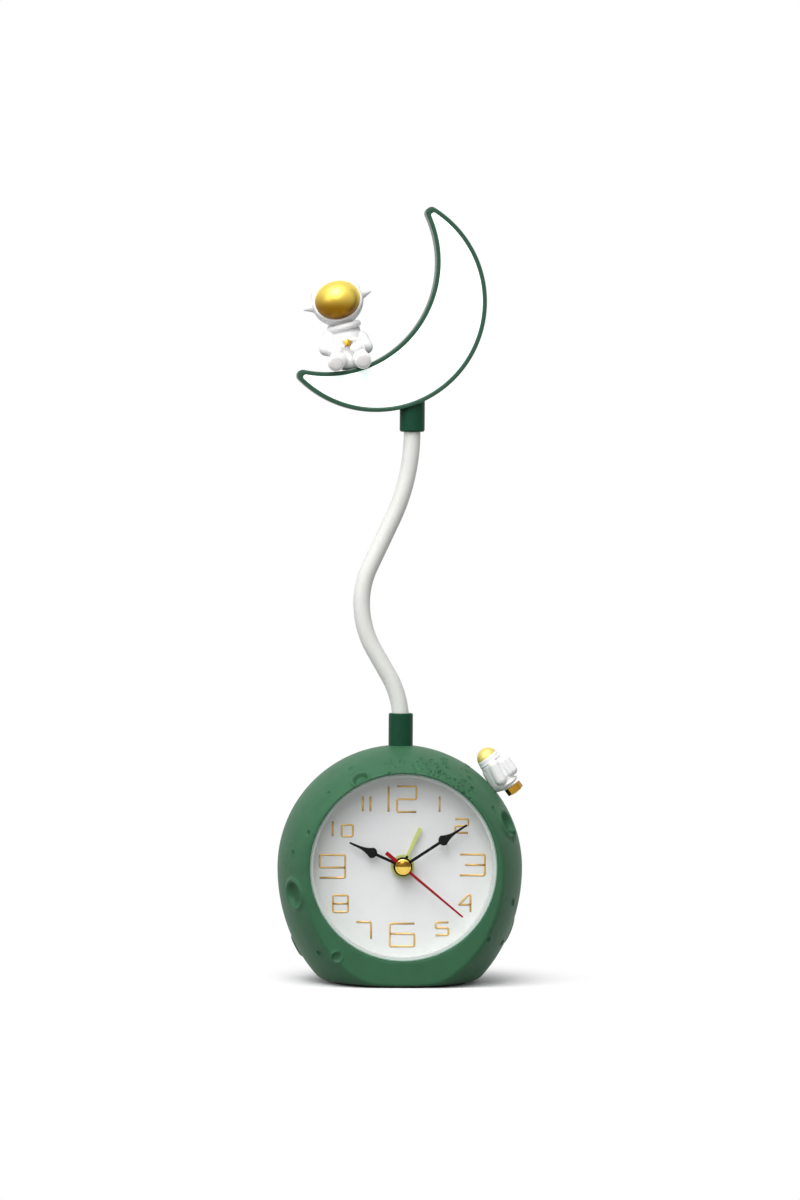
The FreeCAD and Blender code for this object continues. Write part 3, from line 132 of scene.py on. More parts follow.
for number, (spot, size, power) in enumerate(lamps):
    data = bpy.data.lights.new("softbox_%d" % number, "AREA")
    data.energy = power
    data.size = size
    lamp = bpy.data.objects.new(data.name, data)
    lamp.location = spot
    lamp.rotation_euler = (lamp_aim - Vector(spot)).to_track_quat("-Z", "Y").to_euler()
    scene.collection.objects.link(lamp)

data = bpy.data.cameras.new("camera")
data.sensor_fit = "VERTICAL"
data.sensor_height = film
data.lens = film * camera_distance / frame_height
camera = bpy.data.objects.new("camera", data)
level = math.sqrt(camera_distance ** 2 - camera_height ** 2)
camera.location = (math.sin(camera_turn) * level, -math.cos(camera_turn) * level, camera_height)
look = (camera_aim - camera.location).to_track_quat("-Z", "Y").to_matrix()
camera.rotation_euler = (look @ Matrix.Rotation(camera_roll, 3, "Z")).to_euler()
scene.collection.objects.link(camera)
scene.camera = camera


# Foot pad, a disc of black foam rubber glued under the body. Its fine open cells
# show as a dull speckle.
def srgb(red, green, blue):
    """Colour as a screen shows it, 0 to 255, in the linear values that a shader takes."""
    tones = []
    for tone in (red, green, blue):
        part = tone / 255
        tones.append(part / 12.92 if part <= 0.04045 else ((part + 0.055) / 1.055) ** 2.4)
    return (*tones, 1)


def shade(colour, factor):
    """The same colour, lighter or darker."""
    return (*(min(tone * factor, 1) for tone in colour[:3]), 1)


def noise(tree, spacing, detail=3.0):
    """Even noise whose clouds are about as wide as the spacing, in millimetres."""
    place = add(tree, "TexCoord").outputs["Object"]
    clouds = {"Vector": place, "Scale": 1 / (spacing * mm), "Detail": detail}
    return add(tree, "TexNoise", clouds).outputs["Fac"]


def between(tree, share, low, high):
    """Noise between 0.3 and 0.7 spread over a range."""
    spread = {"Value": share, "From Min": 0.3, "From Max": 0.7, "To Min": low, "To Max": high}
    return add(tree, "MapRange", spread).outputs[0]


def mixed(tree, share, first, second):
    """Colour between two colours."""
    return add(tree, "Mix", {0: share, 6: first, 7: second}, data_type="RGBA").outputs[2]


def finish(name, colour, roughness, variation=0.06, cloud=9.0, grain=0.35, relief=0.02, uneven=0.06,
           **shader):
    """Material with drifting colour, uneven gloss and a fine grain in relief, sizes in millimetres."""
    material = bpy.data.materials.new(name)
    material.use_nodes = True
    tree = material.node_tree
    skin = tree.nodes["Principled BSDF"]
    drift = mixed(tree, between(tree, noise(tree, cloud), 0, 1), shade(colour, 1 - variation),
                  shade(colour, 1 + variation))
    fine = noise(tree, grain, 2.0)
    tree.links.new(drift, skin.inputs["Base Color"])
    tree.links.new(between(tree, fine, roughness - uneven, roughness + uneven), skin.inputs["Roughness"])
    bump = add(tree, "Bump", {"Height": fine, "Strength": 1.0, "Distance": relief * mm})
    tree.links.new(bump.outputs[0], skin.inputs["Normal"])
    for key, value in shader.items():
        skin.inputs[key.replace("_", " ").title().replace("Ior", "IOR")].default_value = value
    return material


def dress(material, *names):
    """Give CAD nodes a material in place of the one that they came with."""
    for name in names:
        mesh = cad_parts[name].data
        mesh.materials.clear()
        mesh.materials.append(material)


dress(finish("foam_rubber", srgb(52, 52, 52), 0.85, 0.25, 1.2, 0.5, 0.12), "foot_pad")


# Front and rear shell, moulded in matte green plastic with a moon's skin: craters with
# raised rims, dimples, and a rough patch of small pits above the dial. The two meet
# in a fine seam at the sides, and each is a closed wall of its own.
ball_radius = 52.7
ball_height = 49.5
belly_height = 63.2
shell_wall = 2.2
shell_floor = 0.8
floor_bend = 3.0
dial_height = 51.4
face_plane = 31.0
window_radius = 40.2
window_bevel = 0.25
panel_hole = 38.1
ledge_hole = 34.2
ledge_back = 27.1
panel_front = 28.6
front_plate_back = 28.6
crease = 1.2
seam_half = 0.03
seam_bevel = 0.22
around = 600
flat_rows = 8
crease_rows = 8
side_rows = 83
inside_rows = 12
opening_lip = 1.5
corner_share = 0.3
flat_least = 0.05
wall_least = 0.4
merge_within = 1e-4
shell_green = srgb(54, 99, 70)
craters = (
    (-63, -11, 5.64, 1.26), (-32.5, 48.7, 3.48, 1.05), (66.8, 22.6, 5.38, 1.26), (69.5, 16.6, 2.21, 0.84),
    (-41, -40, 2.11, 0.63), (-118, 24, 6.32, 1.26), (-148, -28, 4.74, 1.16), (124, 36, 5.53, 1.26),
    (152, -34, 3.95, 1.05), (98, -30, 5.80, 1.26), (-96, -38, 3.95, 1.05), (176, 62, 4.48, 1.16),
)
dimples = (
    (-32.4, 82.6, 1.5), (-40.8, 65.8, 1.4), (29.7, 84.8, 1.6), (36.5, 20.9, 1.3), (43.4, 18.3, 1.4),
    (-35.6, 14.5, 1.3), (38.5, 76.5, 1.1), (-22.5, 93.0, 1.0), (47.5, 36.0, 1.5), (-47.0, 57.0, 1.2),
)
crater_press = 1.6
crater_rim = 0.42
dimple_depth = 0.8
dimple_rim = 0.30
pit_patch = (-9.0, 29.0, 85.5, 99.0)
patch_middle = 8
patch_bend = 0.012
pit_count = 150
pit_radius = (0.5, 1.15)
pit_depth = 0.55
pit_depth_share = (0.4, 1.0)
pit_rim = 0.45
rough_count = 260
rough_radius = (0.5, 1.3)
rough_depth = (0.04, 0.12)
rough_rim = 0.3
rough_heights = (-0.75, 0.98)
mark_reach = 1.8
crater_wall_share = 0.30
crater_floor = 0.8
crater_hollow = 0.2
rim_at = 1.1
rim_spread = 0.2


def body_reach(sine, cosine, y, shrink=0.0):
    """Distance of the body's form from the dial's axis, in one direction across it."""
    radius, belly = ball_radius - shrink, belly_height - shrink
    rise = dial_height - ball_height
    reach = None
    for tall in (radius, belly):
        a = (sine / radius) ** 2 + (cosine / tall) ** 2
        b = rise * cosine / tall ** 2
        c = (rise / tall) ** 2 + (y / radius) ** 2 - 1
        found = (-b + np.sqrt(b * b - a * c)) / a
        reach = found if reach is None else np.where(rise + found * cosine < 0, found, reach)
    below = np.where(cosine < -0.01, (dial_height - shell_floor - shrink) / np.maximum(-cosine, 0.01), 1e3)
    near = np.clip(1 - np.abs(reach - below) / floor_bend, 0, 1)
    return np.minimum(reach, below) - near ** 2 * floor_bend / 4


def wrapped(rings):
    """Closed band from a grid: each ring is a distance from the dial's axis and a depth, all round."""
    bm = bmesh.new()
    count = len(rings) - 1
    bmesh.ops.create_grid(bm, x_segments=around, y_segments=count, size=1)
    for vert in bm.verts:
        i, j = round((vert.co.x + 1) / 2 * around), round((vert.co.y + 1) / 2 * count)
        turn = 2 * math.pi * i / around
        reach, y = rings[j]
        vert.co = (reach[i] * math.sin(turn), y[i], dial_height + reach[i] * math.cos(turn))
    bmesh.ops.remove_doubles(bm, verts=bm.verts, dist=merge_within)
    bmesh.ops.recalc_face_normals(bm, faces=bm.faces)
    return bm


def shell_rings(side, hole, inner_hole, inner_start):
    """Rings of one shell, from its opening over the crease and the ball to the seam, and back inside."""
    turns = np.linspace(0, 2 * np.pi, around + 1)
    sine, cosine = np.sin(turns), np.cos(turns)
    ones = np.ones(around + 1)
    edge = body_reach(sine, cosine, face_plane)
    rings = [(hole * ones, (face_plane - opening_lip) * ones),
             (hole * ones, (face_plane - window_bevel) * ones),
             ((hole + window_bevel * corner_share) * ones, (face_plane - window_bevel * corner_share) * ones),
             ((hole + window_bevel) * ones, face_plane * ones)]
    start = hole + window_bevel
    flat_end = np.maximum(edge - crease, start + flat_least)
    for step in np.linspace(0, 1, flat_rows + 1)[1:]:
        rings.append((start + (flat_end - start) * step, face_plane * ones))
    past = body_reach(sine, cosine, face_plane - crease)
    for t in np.linspace(0, 1, crease_rows + 1)[1:]:
        reach = (1 - t) ** 2 * flat_end + 2 * t * (1 - t) * edge + t * t * past
        depth = (1 - t * t) * face_plane + t * t * (face_plane - crease)
        rings.append((reach, depth * ones))
    for y in np.linspace(face_plane - crease, seam_half + seam_bevel, side_rows + 1)[1:]:
        rings.append((body_reach(sine, cosine, y), y * ones))
    corner = seam_bevel * corner_share
    rings.append((body_reach(sine, cosine, 0) - corner, (seam_half + corner) * ones))
    rings.append((body_reach(sine, cosine, 0) - seam_bevel, seam_half * ones))
    for y in np.linspace(seam_half, inner_start, inside_rows):
        inside = np.maximum(body_reach(sine, cosine, y, shell_wall), hole + wall_least)
        rings.append((inside, y * ones))
    rings.append((inner_hole * ones, inner_start * ones))
    if inner_hole < hole:
        rings.append((inner_hole * ones, panel_front * ones))
        rings.append((hole * ones, panel_front * ones))
    else:
        rings[-1] = (hole * ones, inner_start * ones)
    rings.append(rings[0])
    return [(reach, side * depth) for reach, depth in rings]


def keep(name, bm, material, body, slot, *nodes, smooth=40.0):
    """Turn millimetres into a finished piece that rides on its body and stands for its CAD nodes."""
    mesh = bpy.data.meshes.new(name)
    bm.to_mesh(mesh)
    bm.free()
    mesh.transform(Matrix.Scale(mm, 4))
    mesh.shade_smooth()
    mesh.set_sharp_from_angle(angle=math.radians(smooth))
    mesh.materials.append(material)
    made = bpy.data.objects.new(name, mesh)
    scene.collection.objects.link(made)
    if body:
        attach(made, body)
    if nodes:
        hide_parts(*nodes)
    return made


def on_ball(turn, rise):
    """Point of the body's form in a direction from the ball's middle, as the front sees it."""
    turn, rise = math.radians(turn), math.radians(rise)
    tall = belly_height if rise < 0 else ball_radius
    out = Vector((math.cos(rise) * math.sin(turn), -math.cos(rise) * math.cos(turn), math.sin(rise)))
    reach = 1 / math.sqrt((math.cos(rise) / ball_radius) ** 2 + (math.sin(rise) / tall) ** 2)
    return np.array(out * reach) + (0, 0, ball_height)


def on_front(x, z):
    """Point of the front's form straight behind a place in the picture."""
    tall = belly_height if z < ball_height else ball_radius
    left = 1 - (x / ball_radius) ** 2 - ((z - ball_height) / tall) ** 2
    return np.array((x, -min(ball_radius * math.sqrt(max(left, 0)), face_plane), z))


marks = []
for turn, rise, radius, depth in craters:
    spot = on_ball(turn, rise)
    spot[1] = max(-face_plane, min(face_plane, spot[1]))
    marks.append((spot, radius, depth * crater_press, crater_rim))
for x, z, radius in dimples:
    marks.append((on_front(x, z), radius, dimple_depth, dimple_rim))
dice = random.Random(11)
for number in range(pit_count):
    x = dice.uniform(pit_patch[0], pit_patch[1])
    z = dice.uniform(pit_patch[2], pit_patch[3]) - patch_bend * (x - patch_middle) ** 2
    radius = dice.uniform(*pit_radius)
    marks.append((on_front(x, z), radius, pit_depth * dice.uniform(*pit_depth_share), pit_rim))
for number in range(rough_count):
    spot = on_ball(dice.uniform(-180, 180), math.degrees(math.asin(dice.uniform(*rough_heights))))
    spot[1] = max(-face_plane, min(face_plane, spot[1]))
    marks.append((spot, dice.uniform(*rough_radius), dice.uniform(*rough_depth), rough_rim))


def pressed(obj, middle):
    """Press craters, dimples and pits into the outside of a shell, with a raised rim round each."""
    mesh = obj.data
    count = len(mesh.vertices)
    points, normals = np.empty(count * 3), np.empty(count * 3)
    mesh.vertices.foreach_get("co", points)
    mesh.vertices.foreach_get("normal", normals)
    points, normals = points.reshape(-1, 3) / mm, normals.reshape(-1, 3)
    outside = ((points - middle) * normals).sum(1) > 0
    lift = np.zeros(count)
    for spot, radius, depth, rim in marks:
        gap = np.sqrt(((points - spot) ** 2).sum(1)) / radius
        near = (gap < mark_reach) & outside
        s = gap[near]
        wall = np.clip((1 - s) / crater_wall_share, 0, 1)
        bowl = wall * wall * (3 - 2 * wall) * (crater_floor + crater_hollow * np.clip(1 - s, 0, 1))
        lift[near] += depth * (rim * np.exp(-((s - rim_at) / rim_spread) ** 2) - bowl)
    points += normals * lift[:, None]
    mesh.vertices.foreach_set("co", (points * mm).ravel())
    mesh.update()


shell_plastic = finish("moulded_green", shell_green, 0.50, 0.07, 7.0, 0.40, 0.035, specular_ior_level=0.18)
ball_middle = np.array((0, 0, ball_height))
front_rings = shell_rings(-1, window_radius, window_radius, front_plate_back)
rear_rings = shell_rings(1, panel_hole, ledge_hole, ledge_back)
front_shell = keep("clock_front_shell", wrapped(front_rings), shell_plastic, "base", "green_shell",
                   "front_shell")
rear_shell = keep("clock_rear_shell", wrapped(rear_rings), shell_plastic, "base", "green_shell",
                  "rear_shell")
for shell in (front_shell, rear_shell):
    pressed(shell, ball_middle)


# Window of clear acrylic pressed into the front shell. Its polished chamfer is painted as a thin pale ring,
# a painted glint of the light it catches, strongest at the lower right.
chamfer_start = 39.62
chamfer_half = 0.1
chamfer_glint_mint = srgb(196, 232, 214)
lens_tone = srgb(30, 32, 31)
lens_haze = 0.015
chamfer_glint_alpha = 0.80
lens_front = -30.5
lens_back = -28.63
lens_radius = 40.1
lens_profile = (
    (0.0, lens_front), (38.9, lens_front), (39.25, lens_front + 0.03), (39.5, lens_front + 0.16),
    (39.95, lens_front + 0.70), (lens_radius, lens_front + 0.95), (lens_radius, lens_back - 0.05),
    (lens_radius - 0.05, lens_back), (0.0, lens_back),
)


def turned_piece(profile, steps, axis, centre):
    """Solid of revolution from its profile, given as distance from the axis and height along it."""
    bm = bmesh.new()
    line = [bm.verts.new((reach, 0, height)) for reach, height in profile]
    for pair in zip(line, line[1:]):
        bm.edges.new(pair)
    bmesh.ops.spin(bm, geom=bm.verts[:] + bm.edges[:], cent=(0, 0, 0), axis=(0, 0, 1), angle=2 * math.pi,
                   steps=steps, use_merge=True)
    bmesh.ops.remove_doubles(bm, verts=bm.verts[:], dist=merge_within)
    bmesh.ops.recalc_face_normals(bm, faces=bm.faces[:])
    tilt = Vector((0, 0, 1)).rotation_difference(Vector(axis)).to_matrix().to_4x4()
    bmesh.ops.transform(bm, matrix=Matrix.Translation(centre) @ tilt, verts=bm.verts[:])
    return bm


def clear_acrylic():
    """Clear plastic that is nearly open in the middle, with a painted pale glint at its chamfered edge."""
    material = bpy.data.materials.new("clear_acrylic")
    material.use_nodes = True
    tree = material.node_tree
    skin = tree.nodes["Principled BSDF"]
    place = add(tree, "TexCoord").outputs["Object"]
    flat = add(tree, "Mapping", {"Vector": place, "Location": (0, 0, -dial_height * mm), "Scale": (1, 0, 1)})
    away = add(tree, "VectorMath", {0: flat.outputs[0]}, operation="LENGTH").outputs["Value"]
    # Painted glint: from the chamfer's start outwards the acrylic turns pale mint and nearly opaque.
    edge = add(tree, "MapRange", {"Value": away, "From Min": (chamfer_start - chamfer_half) * mm,
                                  "From Max": (chamfer_start + chamfer_half) * mm}).outputs[0]
    haze_and_glint = add(tree, "MapRange", {"Value": edge, "To Min": lens_haze, "To Max": chamfer_glint_alpha}).outputs[0]
    tree.links.new(haze_and_glint, skin.inputs["Alpha"])
    tree.links.new(mixed(tree, edge, lens_tone, chamfer_glint_mint), skin.inputs["Base Color"])
    smear = between(tree, noise(tree, 14.0), 0.04, 0.09)
    tree.links.new(smear, skin.inputs["Roughness"])
    skin.inputs["IOR"].default_value = 1.49
    return material


window = turned_piece(lens_profile, 160, (0, 1, 0), (0, 0, dial_height))
keep("window_lens", window, clear_acrylic(), "base", "clear_lens", "lens", smooth=30.0)


# White ring behind the window, which holds the dial back from it, and the dial, a plate with a pearly white
# print that is a little greyer towards its rim: painted shade of the recess round it.
dial_white = srgb(240, 241, 242)
dial_rim_shade_white = srgb(226, 230, 227)
rim_shade_starts = 22
rim_shade_full = 40
# The ring's white is greyed as painted shade, as if the recess shaded it.
dress(finish("white_styrene", srgb(212, 215, 213), 0.45, 0.02, 12.0, 0.6, 0.01), "spacer_ring")
pearl = finish("pearl_print_rim_shade", dial_white, 0.38, 0.012, 6.0, 0.25, 0.004, 0.03)
tree = pearl.node_tree
skin = tree.nodes["Principled BSDF"]
place = add(tree, "TexCoord").outputs["Object"]
flat = add(tree, "Mapping", {"Vector": place, "Location": (0, 0, -dial_height * mm), "Scale": (1, 0, 1)})
away = add(tree, "VectorMath", {0: flat.outputs[0]}, operation="LENGTH").outputs["Value"]
# Painted shade: from 22 mm out to the rim the print is mixed towards a greyer white, where the recess shades
# the dial.
rim = add(tree, "MapRange", {"Value": away, "From Min": rim_shade_starts * mm, "From Max": rim_shade_full * mm},
          interpolation_type="SMOOTHSTEP").outputs[0]
print_tone = skin.inputs["Base Color"].links[0].from_socket
tree.links.new(mixed(tree, rim, print_tone, dial_rim_shade_white), skin.inputs["Base Color"])
dress(pearl, "dial_plate")


# Numerals, thin golden strokes with rounded corners that stand a little proud of
# the dial. Each figure is a bent line that is given its width and thickness.
dial_front = -19.6
stroke_width = 0.80
stroke_proud = 0.15
corner_radius = 0.75
numeral_gold = srgb(220, 180, 108)
figures = {
    "0": (((0, 0), (0, 1), (1, 1), (1, 0), (0, 0)),),
    "1": (((0, 0), (0, 1)),),
    "2": (((0, 1), (1, 1), (1, 0.5), (0, 0.5), (0, 0), (1, 0)),),
    "3": (((0, 1), (1, 1), (1, 0), (0, 0)), ((0.2, 0.5), (1, 0.5))),
    "4": (((1, 0), (1, 1), (0.8, 1), (0, 0.42), (1, 0.42)),),
    "5": (((1, 1), (0, 1), (0, 0.55), (1, 0.55), (1, 0), (0, 0)),),
    "6": (((1, 1), (0, 1), (0, 0), (1, 0), (1, 0.55), (0, 0.55)),),
    "7": (((0, 1), (1, 1), (1, 0)),),
    "8": (((0, 0), (0, 1), (1, 1), (1, 0), (0, 0)), ((0, 0.5), (1, 0.5))),
    "9": (((0, 0), (1, 0), (1, 1), (0, 1), (0, 0.45), (1, 0.45)),),
}
figure_places = (
    ("1", -0.152, 0.712, 0.0, 0.270), ("2", 0.041, 0.712, 0.205, 0.270), ("1", 0.391, 0.661, 0.0, 0.162),
    ("2", 0.629, 0.430, 0.138, 0.145), ("3", 0.746, 0.015, 0.265, 0.222),
    ("4", 0.666, -0.396, 0.126, 0.178), ("5", 0.427, -0.667, 0.138, 0.136),
    ("6", 0.002, -0.734, 0.262, 0.243), ("7", -0.408, -0.686, 0.158, 0.178),
    ("8", -0.656, -0.402, 0.160, 0.178), ("9", -0.744, -0.005, 0.270, 0.243),
    ("1", -0.742, 0.396, 0.0, 0.160),
    ("0", -0.588, 0.375, 0.118, 0.122), ("1", -0.424, 0.661, 0.0, 0.158), ("1", -0.344, 0.661, 0.0, 0.158),
)
bm = bmesh.new()
for text, right, up, width, height in figure_places:
    for line in figures[text]:
        closed = line[0] == line[-1]
        verts = []
        for a, b in line[:-1] if closed else line:
            x = (right + (a - 0.5) * width) * window_radius
            z = dial_height + (up + (b - 0.5) * height) * window_radius
            verts.append(bm.verts.new((x, dial_front - stroke_proud, z)))
        pairs = list(zip(verts, verts[1:]))
        if closed:
            pairs.append((verts[-1], verts[0]))
        for pair in pairs:
            bm.edges.new(pair)
        corners = verts if closed else verts[1:-1]
        if corners:
            bmesh.ops.bevel(bm, geom=corners, offset=corner_radius, offset_type="OFFSET", segments=4,
                            profile=0.5, affect="VERTICES", material=-1, clamp_overlap=True)
made = bmesh.ops.extrude_edge_only(bm, edges=bm.edges[:])
low = [item for item in made["geom"] if isinstance(item, bmesh.types.BMVert)]
bmesh.ops.translate(bm, verts=low, vec=(0, stroke_proud, 0))
bmesh.ops.recalc_face_normals(bm, faces=bm.faces[:])
gold_print = finish("golden_print", numeral_gold, 0.34, 0.10, 2.0, 0.2, 0.004, metallic=0.35)
numerals = keep("dial_figures", bm, gold_print, "base", "numeral_gold", "dial_numerals")
widen = numerals.modifiers.new("width", "SOLIDIFY")
widen.thickness = stroke_width * mm
widen.offset = 0
widen.use_even_offset = True


# Hands of thin sheet metal. Hour and minute hand have a slim stem, a drop-shaped
# swelling and a fine point. The second hand is a dark red needle with a thicker
# tail, and the alarm hand a pale yellow-green stick on a small disc.
hand_sheet = 0.4
hand_edge = 0.08
alarm_y = -21.6
hour_y = -22.9
minute_y = -24.2
second_y = -25.5
alarm_angle = 24.8
hour_angle = 294.0
minute_angle = 56.7
second_angle = 129.8
hour_length = 25.0
minute_length = 32.7
hour_drop = 14.5
minute_drop = 20.8
drop_half_width = 2.3
stem_half_width = 0.62
tip_half_width = 0.40
taper_length = 2.9
taper_hollow = 1.9
taper_thinning = 0.15
needle_extra = 0.12
needle_point = 0.3
point_share = 0.55


def drop_profile(length, drop_at, drop_half, stem_half, tip_half):
    """Half widths along a hand: stem, a round swelling, a hollow taper and a needle."""
    profile = [(0.0, stem_half)]
    shoulder = drop_at - drop_half
    profile.append((shoulder - 0.25, stem_half))
    for turn in range(14, 100, 9):
        angle = math.radians(turn)
        profile.append((drop_at - drop_half * math.cos(angle), max(drop_half * math.sin(angle), stem_half)))
    taper = taper_length * drop_half
    needle = tip_half + needle_extra
    for step in range(1, 11):
        t = step / 10
        fall = (1 - t) ** taper_hollow
        half = needle + (drop_half - tip_half - needle_extra) * fall * (1 - taper_thinning * t)
        profile.append((drop_at + t * taper, half))
    profile.append((length - needle_point, tip_half))
    profile.append((length, tip_half * point_share))
    return profile


def hand(name, profile, disc, hole, y, angle, material, body, slot, node, disc_lift=0.0):
    """Flat hand with its disc, turned clockwise to its place."""
    bm = bmesh.new()
    first = [bm.verts.new((side * profile[0][1], 0, profile[0][0])) for side in (-1, 1)]
    edge = bm.edges.new(first)
    for along, half in profile[1:]:
        made = bmesh.ops.extrude_edge_only(bm, edges=[edge])["geom"]
        edge = [item for item in made if isinstance(item, bmesh.types.BMEdge)][0]
        for vert in edge.verts:
            vert.co = (math.copysign(half, vert.co.x), 0, along)
    made = bmesh.ops.extrude_face_region(bm, geom=bm.faces[:])["geom"]
    top = [item for item in made if isinstance(item, bmesh.types.BMVert)]
    bmesh.ops.translate(bm, verts=top, vec=(0, hand_sheet, 0))
    ring = bmesh.ops.create_circle(bm, cap_ends=False, radius=disc, segments=64,
                                   matrix=Matrix.Rotation(math.pi / 2, 4, "X"))["verts"]
    rim = list({edge for vert in ring for edge in vert.link_edges})
    made = bmesh.ops.extrude_edge_only(bm, edges=rim)["geom"]
    inner = [item for item in made if isinstance(item, bmesh.types.BMVert)]
    bmesh.ops.scale(bm, vec=(hole / disc,) * 3, verts=inner)
    plate = list({face for vert in inner for face in vert.link_faces})
    made = bmesh.ops.extrude_face_region(bm, geom=plate)["geom"]
    top = [item for item in made if isinstance(item, bmesh.types.BMVert)]
    bmesh.ops.translate(bm, verts=top, vec=(0, hand_sheet, 0))
    bmesh.ops.recalc_face_normals(bm, faces=bm.faces[:])
    turned = Matrix.Translation((0, y, dial_height)) @ Matrix.Rotation(math.radians(angle), 4, "Y")
    bmesh.ops.transform(bm, matrix=turned, verts=bm.verts[:])
    made = keep(name, bm, material, body, slot, node, smooth=30.0)
    edge = made.modifiers.new("soft_edge", "BEVEL")
    edge.width = hand_edge * mm
    edge.segments = 2
    edge.limit_method = "ANGLE"
    return made


black_enamel = finish("black_enamel", srgb(10, 11, 12), 0.36, 0.10, 3.0, 0.15, 0.003, 0.04,
                      specular_ior_level=0.15)
red_enamel = finish("red_enamel", srgb(156, 8, 28), 0.36, 0.08, 3.0, 0.15, 0.003, 0.04,
                    specular_ior_level=0.2)
lime_enamel = finish("lime_enamel", srgb(206, 214, 128), 0.40, 0.04, 3.0, 0.15, 0.003, 0.04)
alarm_profile = [(0.0, 0.6), (5.0, 0.62), (16.0, 0.92), (17.8, 0.95), (18.0, 0.7)]
second_profile = [
    (-9.5, 0.75), (-9.2, 0.85), (-2.0, 0.80), (0.0, 0.75), (4.0, 0.62), (33.0, 0.40), (33.5, 0.25),
]
hand("alarm_pointer", alarm_profile, 5.0, 2.15, alarm_y, alarm_angle, lime_enamel, "alarm_indicator",
     "hand_lime", "alarm_hand")
hour_profile = drop_profile(hour_length, hour_drop, drop_half_width, stem_half_width, tip_half_width)
minute_profile = drop_profile(minute_length, minute_drop, drop_half_width, stem_half_width, tip_half_width)
hand("hour_pointer", hour_profile, 4.0, 1.75, hour_y, hour_angle, black_enamel, "hour_indicator",
     "hand_black", "hour_hand")
hand("minute_pointer", minute_profile, 4.0, 1.4, minute_y, minute_angle, black_enamel, "minute_indicator",
     "hand_black", "minute_hand")
hand("second_pointer", second_profile, 2.6, 0.5, second_y, second_angle, red_enamel, "second_indicator",
     "hand_red", "second_hand")


# Cap over the hands' middle, turned from brass and polished: a flat rim, a fine groove and a low dome.
# A dark brown band painted round its middle is a painted reflection of the dark side of the room that it
# mirrors.
cap_profile = (
    (0.0, -1.30), (0.7, -1.28), (1.4, -1.18), (2.0, -1.02), (2.35, -0.86), (2.45, -0.68), (2.60, -0.66),
    (2.72, -0.80), (3.0, -0.78), (3.25, -0.66), (3.38, -0.48), (3.40, -0.30), (3.40, 0.0), (0.0, 0.0),
)
cap_y = -25.5
cap_reflection_low = 0.1
cap_reflection_high = 2.3
cap_reflection_fade = 0.35
cap_gold = srgb(250, 214, 104)
cap_reflection_brown = srgb(128, 92, 22)
cap_gold_with_painted_band = finish("cap_gold_with_painted_band", cap_gold, 0.20, 0.04, 2.5, 0.3, 0.003, 0.05, metallic=0.85)
tree = cap_gold_with_painted_band.node_tree
skin = tree.nodes["Principled BSDF"]
height = add(tree, "SeparateXYZ", {0: add(tree, "TexCoord").outputs["Object"]}).outputs["Z"]
# Painted reflection: between two heights the gold is mixed to dark brown.
for edge, way in ((cap_reflection_low, 1), (cap_reflection_high, -1)):
    start = dial_height + edge - cap_reflection_fade * way
    end = dial_height + edge + cap_reflection_fade * way
    share = add(tree, "MapRange", {"Value": height, "From Min": start * mm, "From Max": end * mm},
                interpolation_type="SMOOTHSTEP").outputs[0]
    if way == 1:
        painted_reflection = share
    else:
        painted_reflection = add(tree, "Math", {0: painted_reflection, 1: share}, operation="MULTIPLY").outputs[0]
bright = skin.inputs["Base Color"].links[0].from_socket
tree.links.new(mixed(tree, painted_reflection, bright, cap_reflection_brown), skin.inputs["Base Color"])
cap = turned_piece(cap_profile, 64, (0, 1, 0), (0, cap_y, dial_height))
keep("hand_cap_dome", cap, cap_gold_with_painted_band, "second_indicator", "gold_cap", "hand_cap")


# The clock's movement behind the dial: black moulded case, natural acetal wheels, a
# magnet rotor in its steel stator, the copper coil and the small circuit board.
dress(finish("black_abs", srgb(34, 34, 36), 0.45, 0.08, 5.0, 0.4, 0.03), "movement_front_case",
      "movement_middle_plate", "movement_back_case", "buzzer")
dress(finish("acetal", srgb(232, 229, 214), 0.36, 0.03, 4.0, 0.3, 0.01), "alarm_wheel", "hour_wheel",
      "cannon_pinion", "seconds_wheel", "motion_wheel", "centre_wheel", "third_wheel", "intermediate_wheel")
dress(finish("ferrite", srgb(74, 74, 78), 0.55, 0.15, 1.5, 0.2, 0.02), "rotor")
dress(finish("soft_iron", srgb(176, 178, 182), 0.38, 0.06, 2.0, 0.15, 0.01, metallic=1.0), "stator")
dress(finish("copper_winding", srgb(198, 116, 64), 0.35, 0.12, 0.8, 0.12, 0.03, metallic=1.0), "coil")
dress(finish("circuit_board", srgb(32, 104, 62), 0.42, 0.12, 2.0, 0.3, 0.01), "clock_board", "lamp_board",
      "light_board")


# Back panel with its battery door, both in fine-grained green plastic, the four
# steel screws that hold the panel, and the metal socket for the lamp's supply.
panel_plastic = finish("grained_green", srgb(52, 94, 66), 0.50, 0.05, 6.0, 0.28, 0.05)
dress(panel_plastic, "back_panel", "battery_door")
screw_steel = finish("zinc_steel", srgb(150, 151, 154), 0.34, 0.08, 1.0, 0.1, 0.01, metallic=1.0)
dress(screw_steel, "panel_screws", "battery_contacts", "usb_socket")


# Knobs that set the time and the alarm, the alarm's switch and the lamp's button,
# moulded in off-white plastic with a satin face.
satin_white = finish("satin_white", srgb(224, 224, 218), 0.40, 0.03, 4.0, 0.25, 0.02)
dress(satin_white, "time_knob", "alarm_knob", "alarm_switch", "lamp_button")


# Cells and weight inside the foot: a plain wrapped clock cell, the lamp's foil
# pouch and the pressed steel weight.
dress(finish("cell_wrap", srgb(58, 92, 120), 0.35, 0.05, 5.0, 0.4, 0.01, metallic=0.3), "clock_battery")
dress(finish("foil_pouch", srgb(196, 198, 200), 0.42, 0.06, 3.0, 0.5, 0.08, metallic=0.7), "lamp_cell")
dress(finish("pressed_steel", srgb(122, 122, 124), 0.50, 0.10, 2.0, 0.2, 0.03, metallic=1.0),
      "ballast_weight")


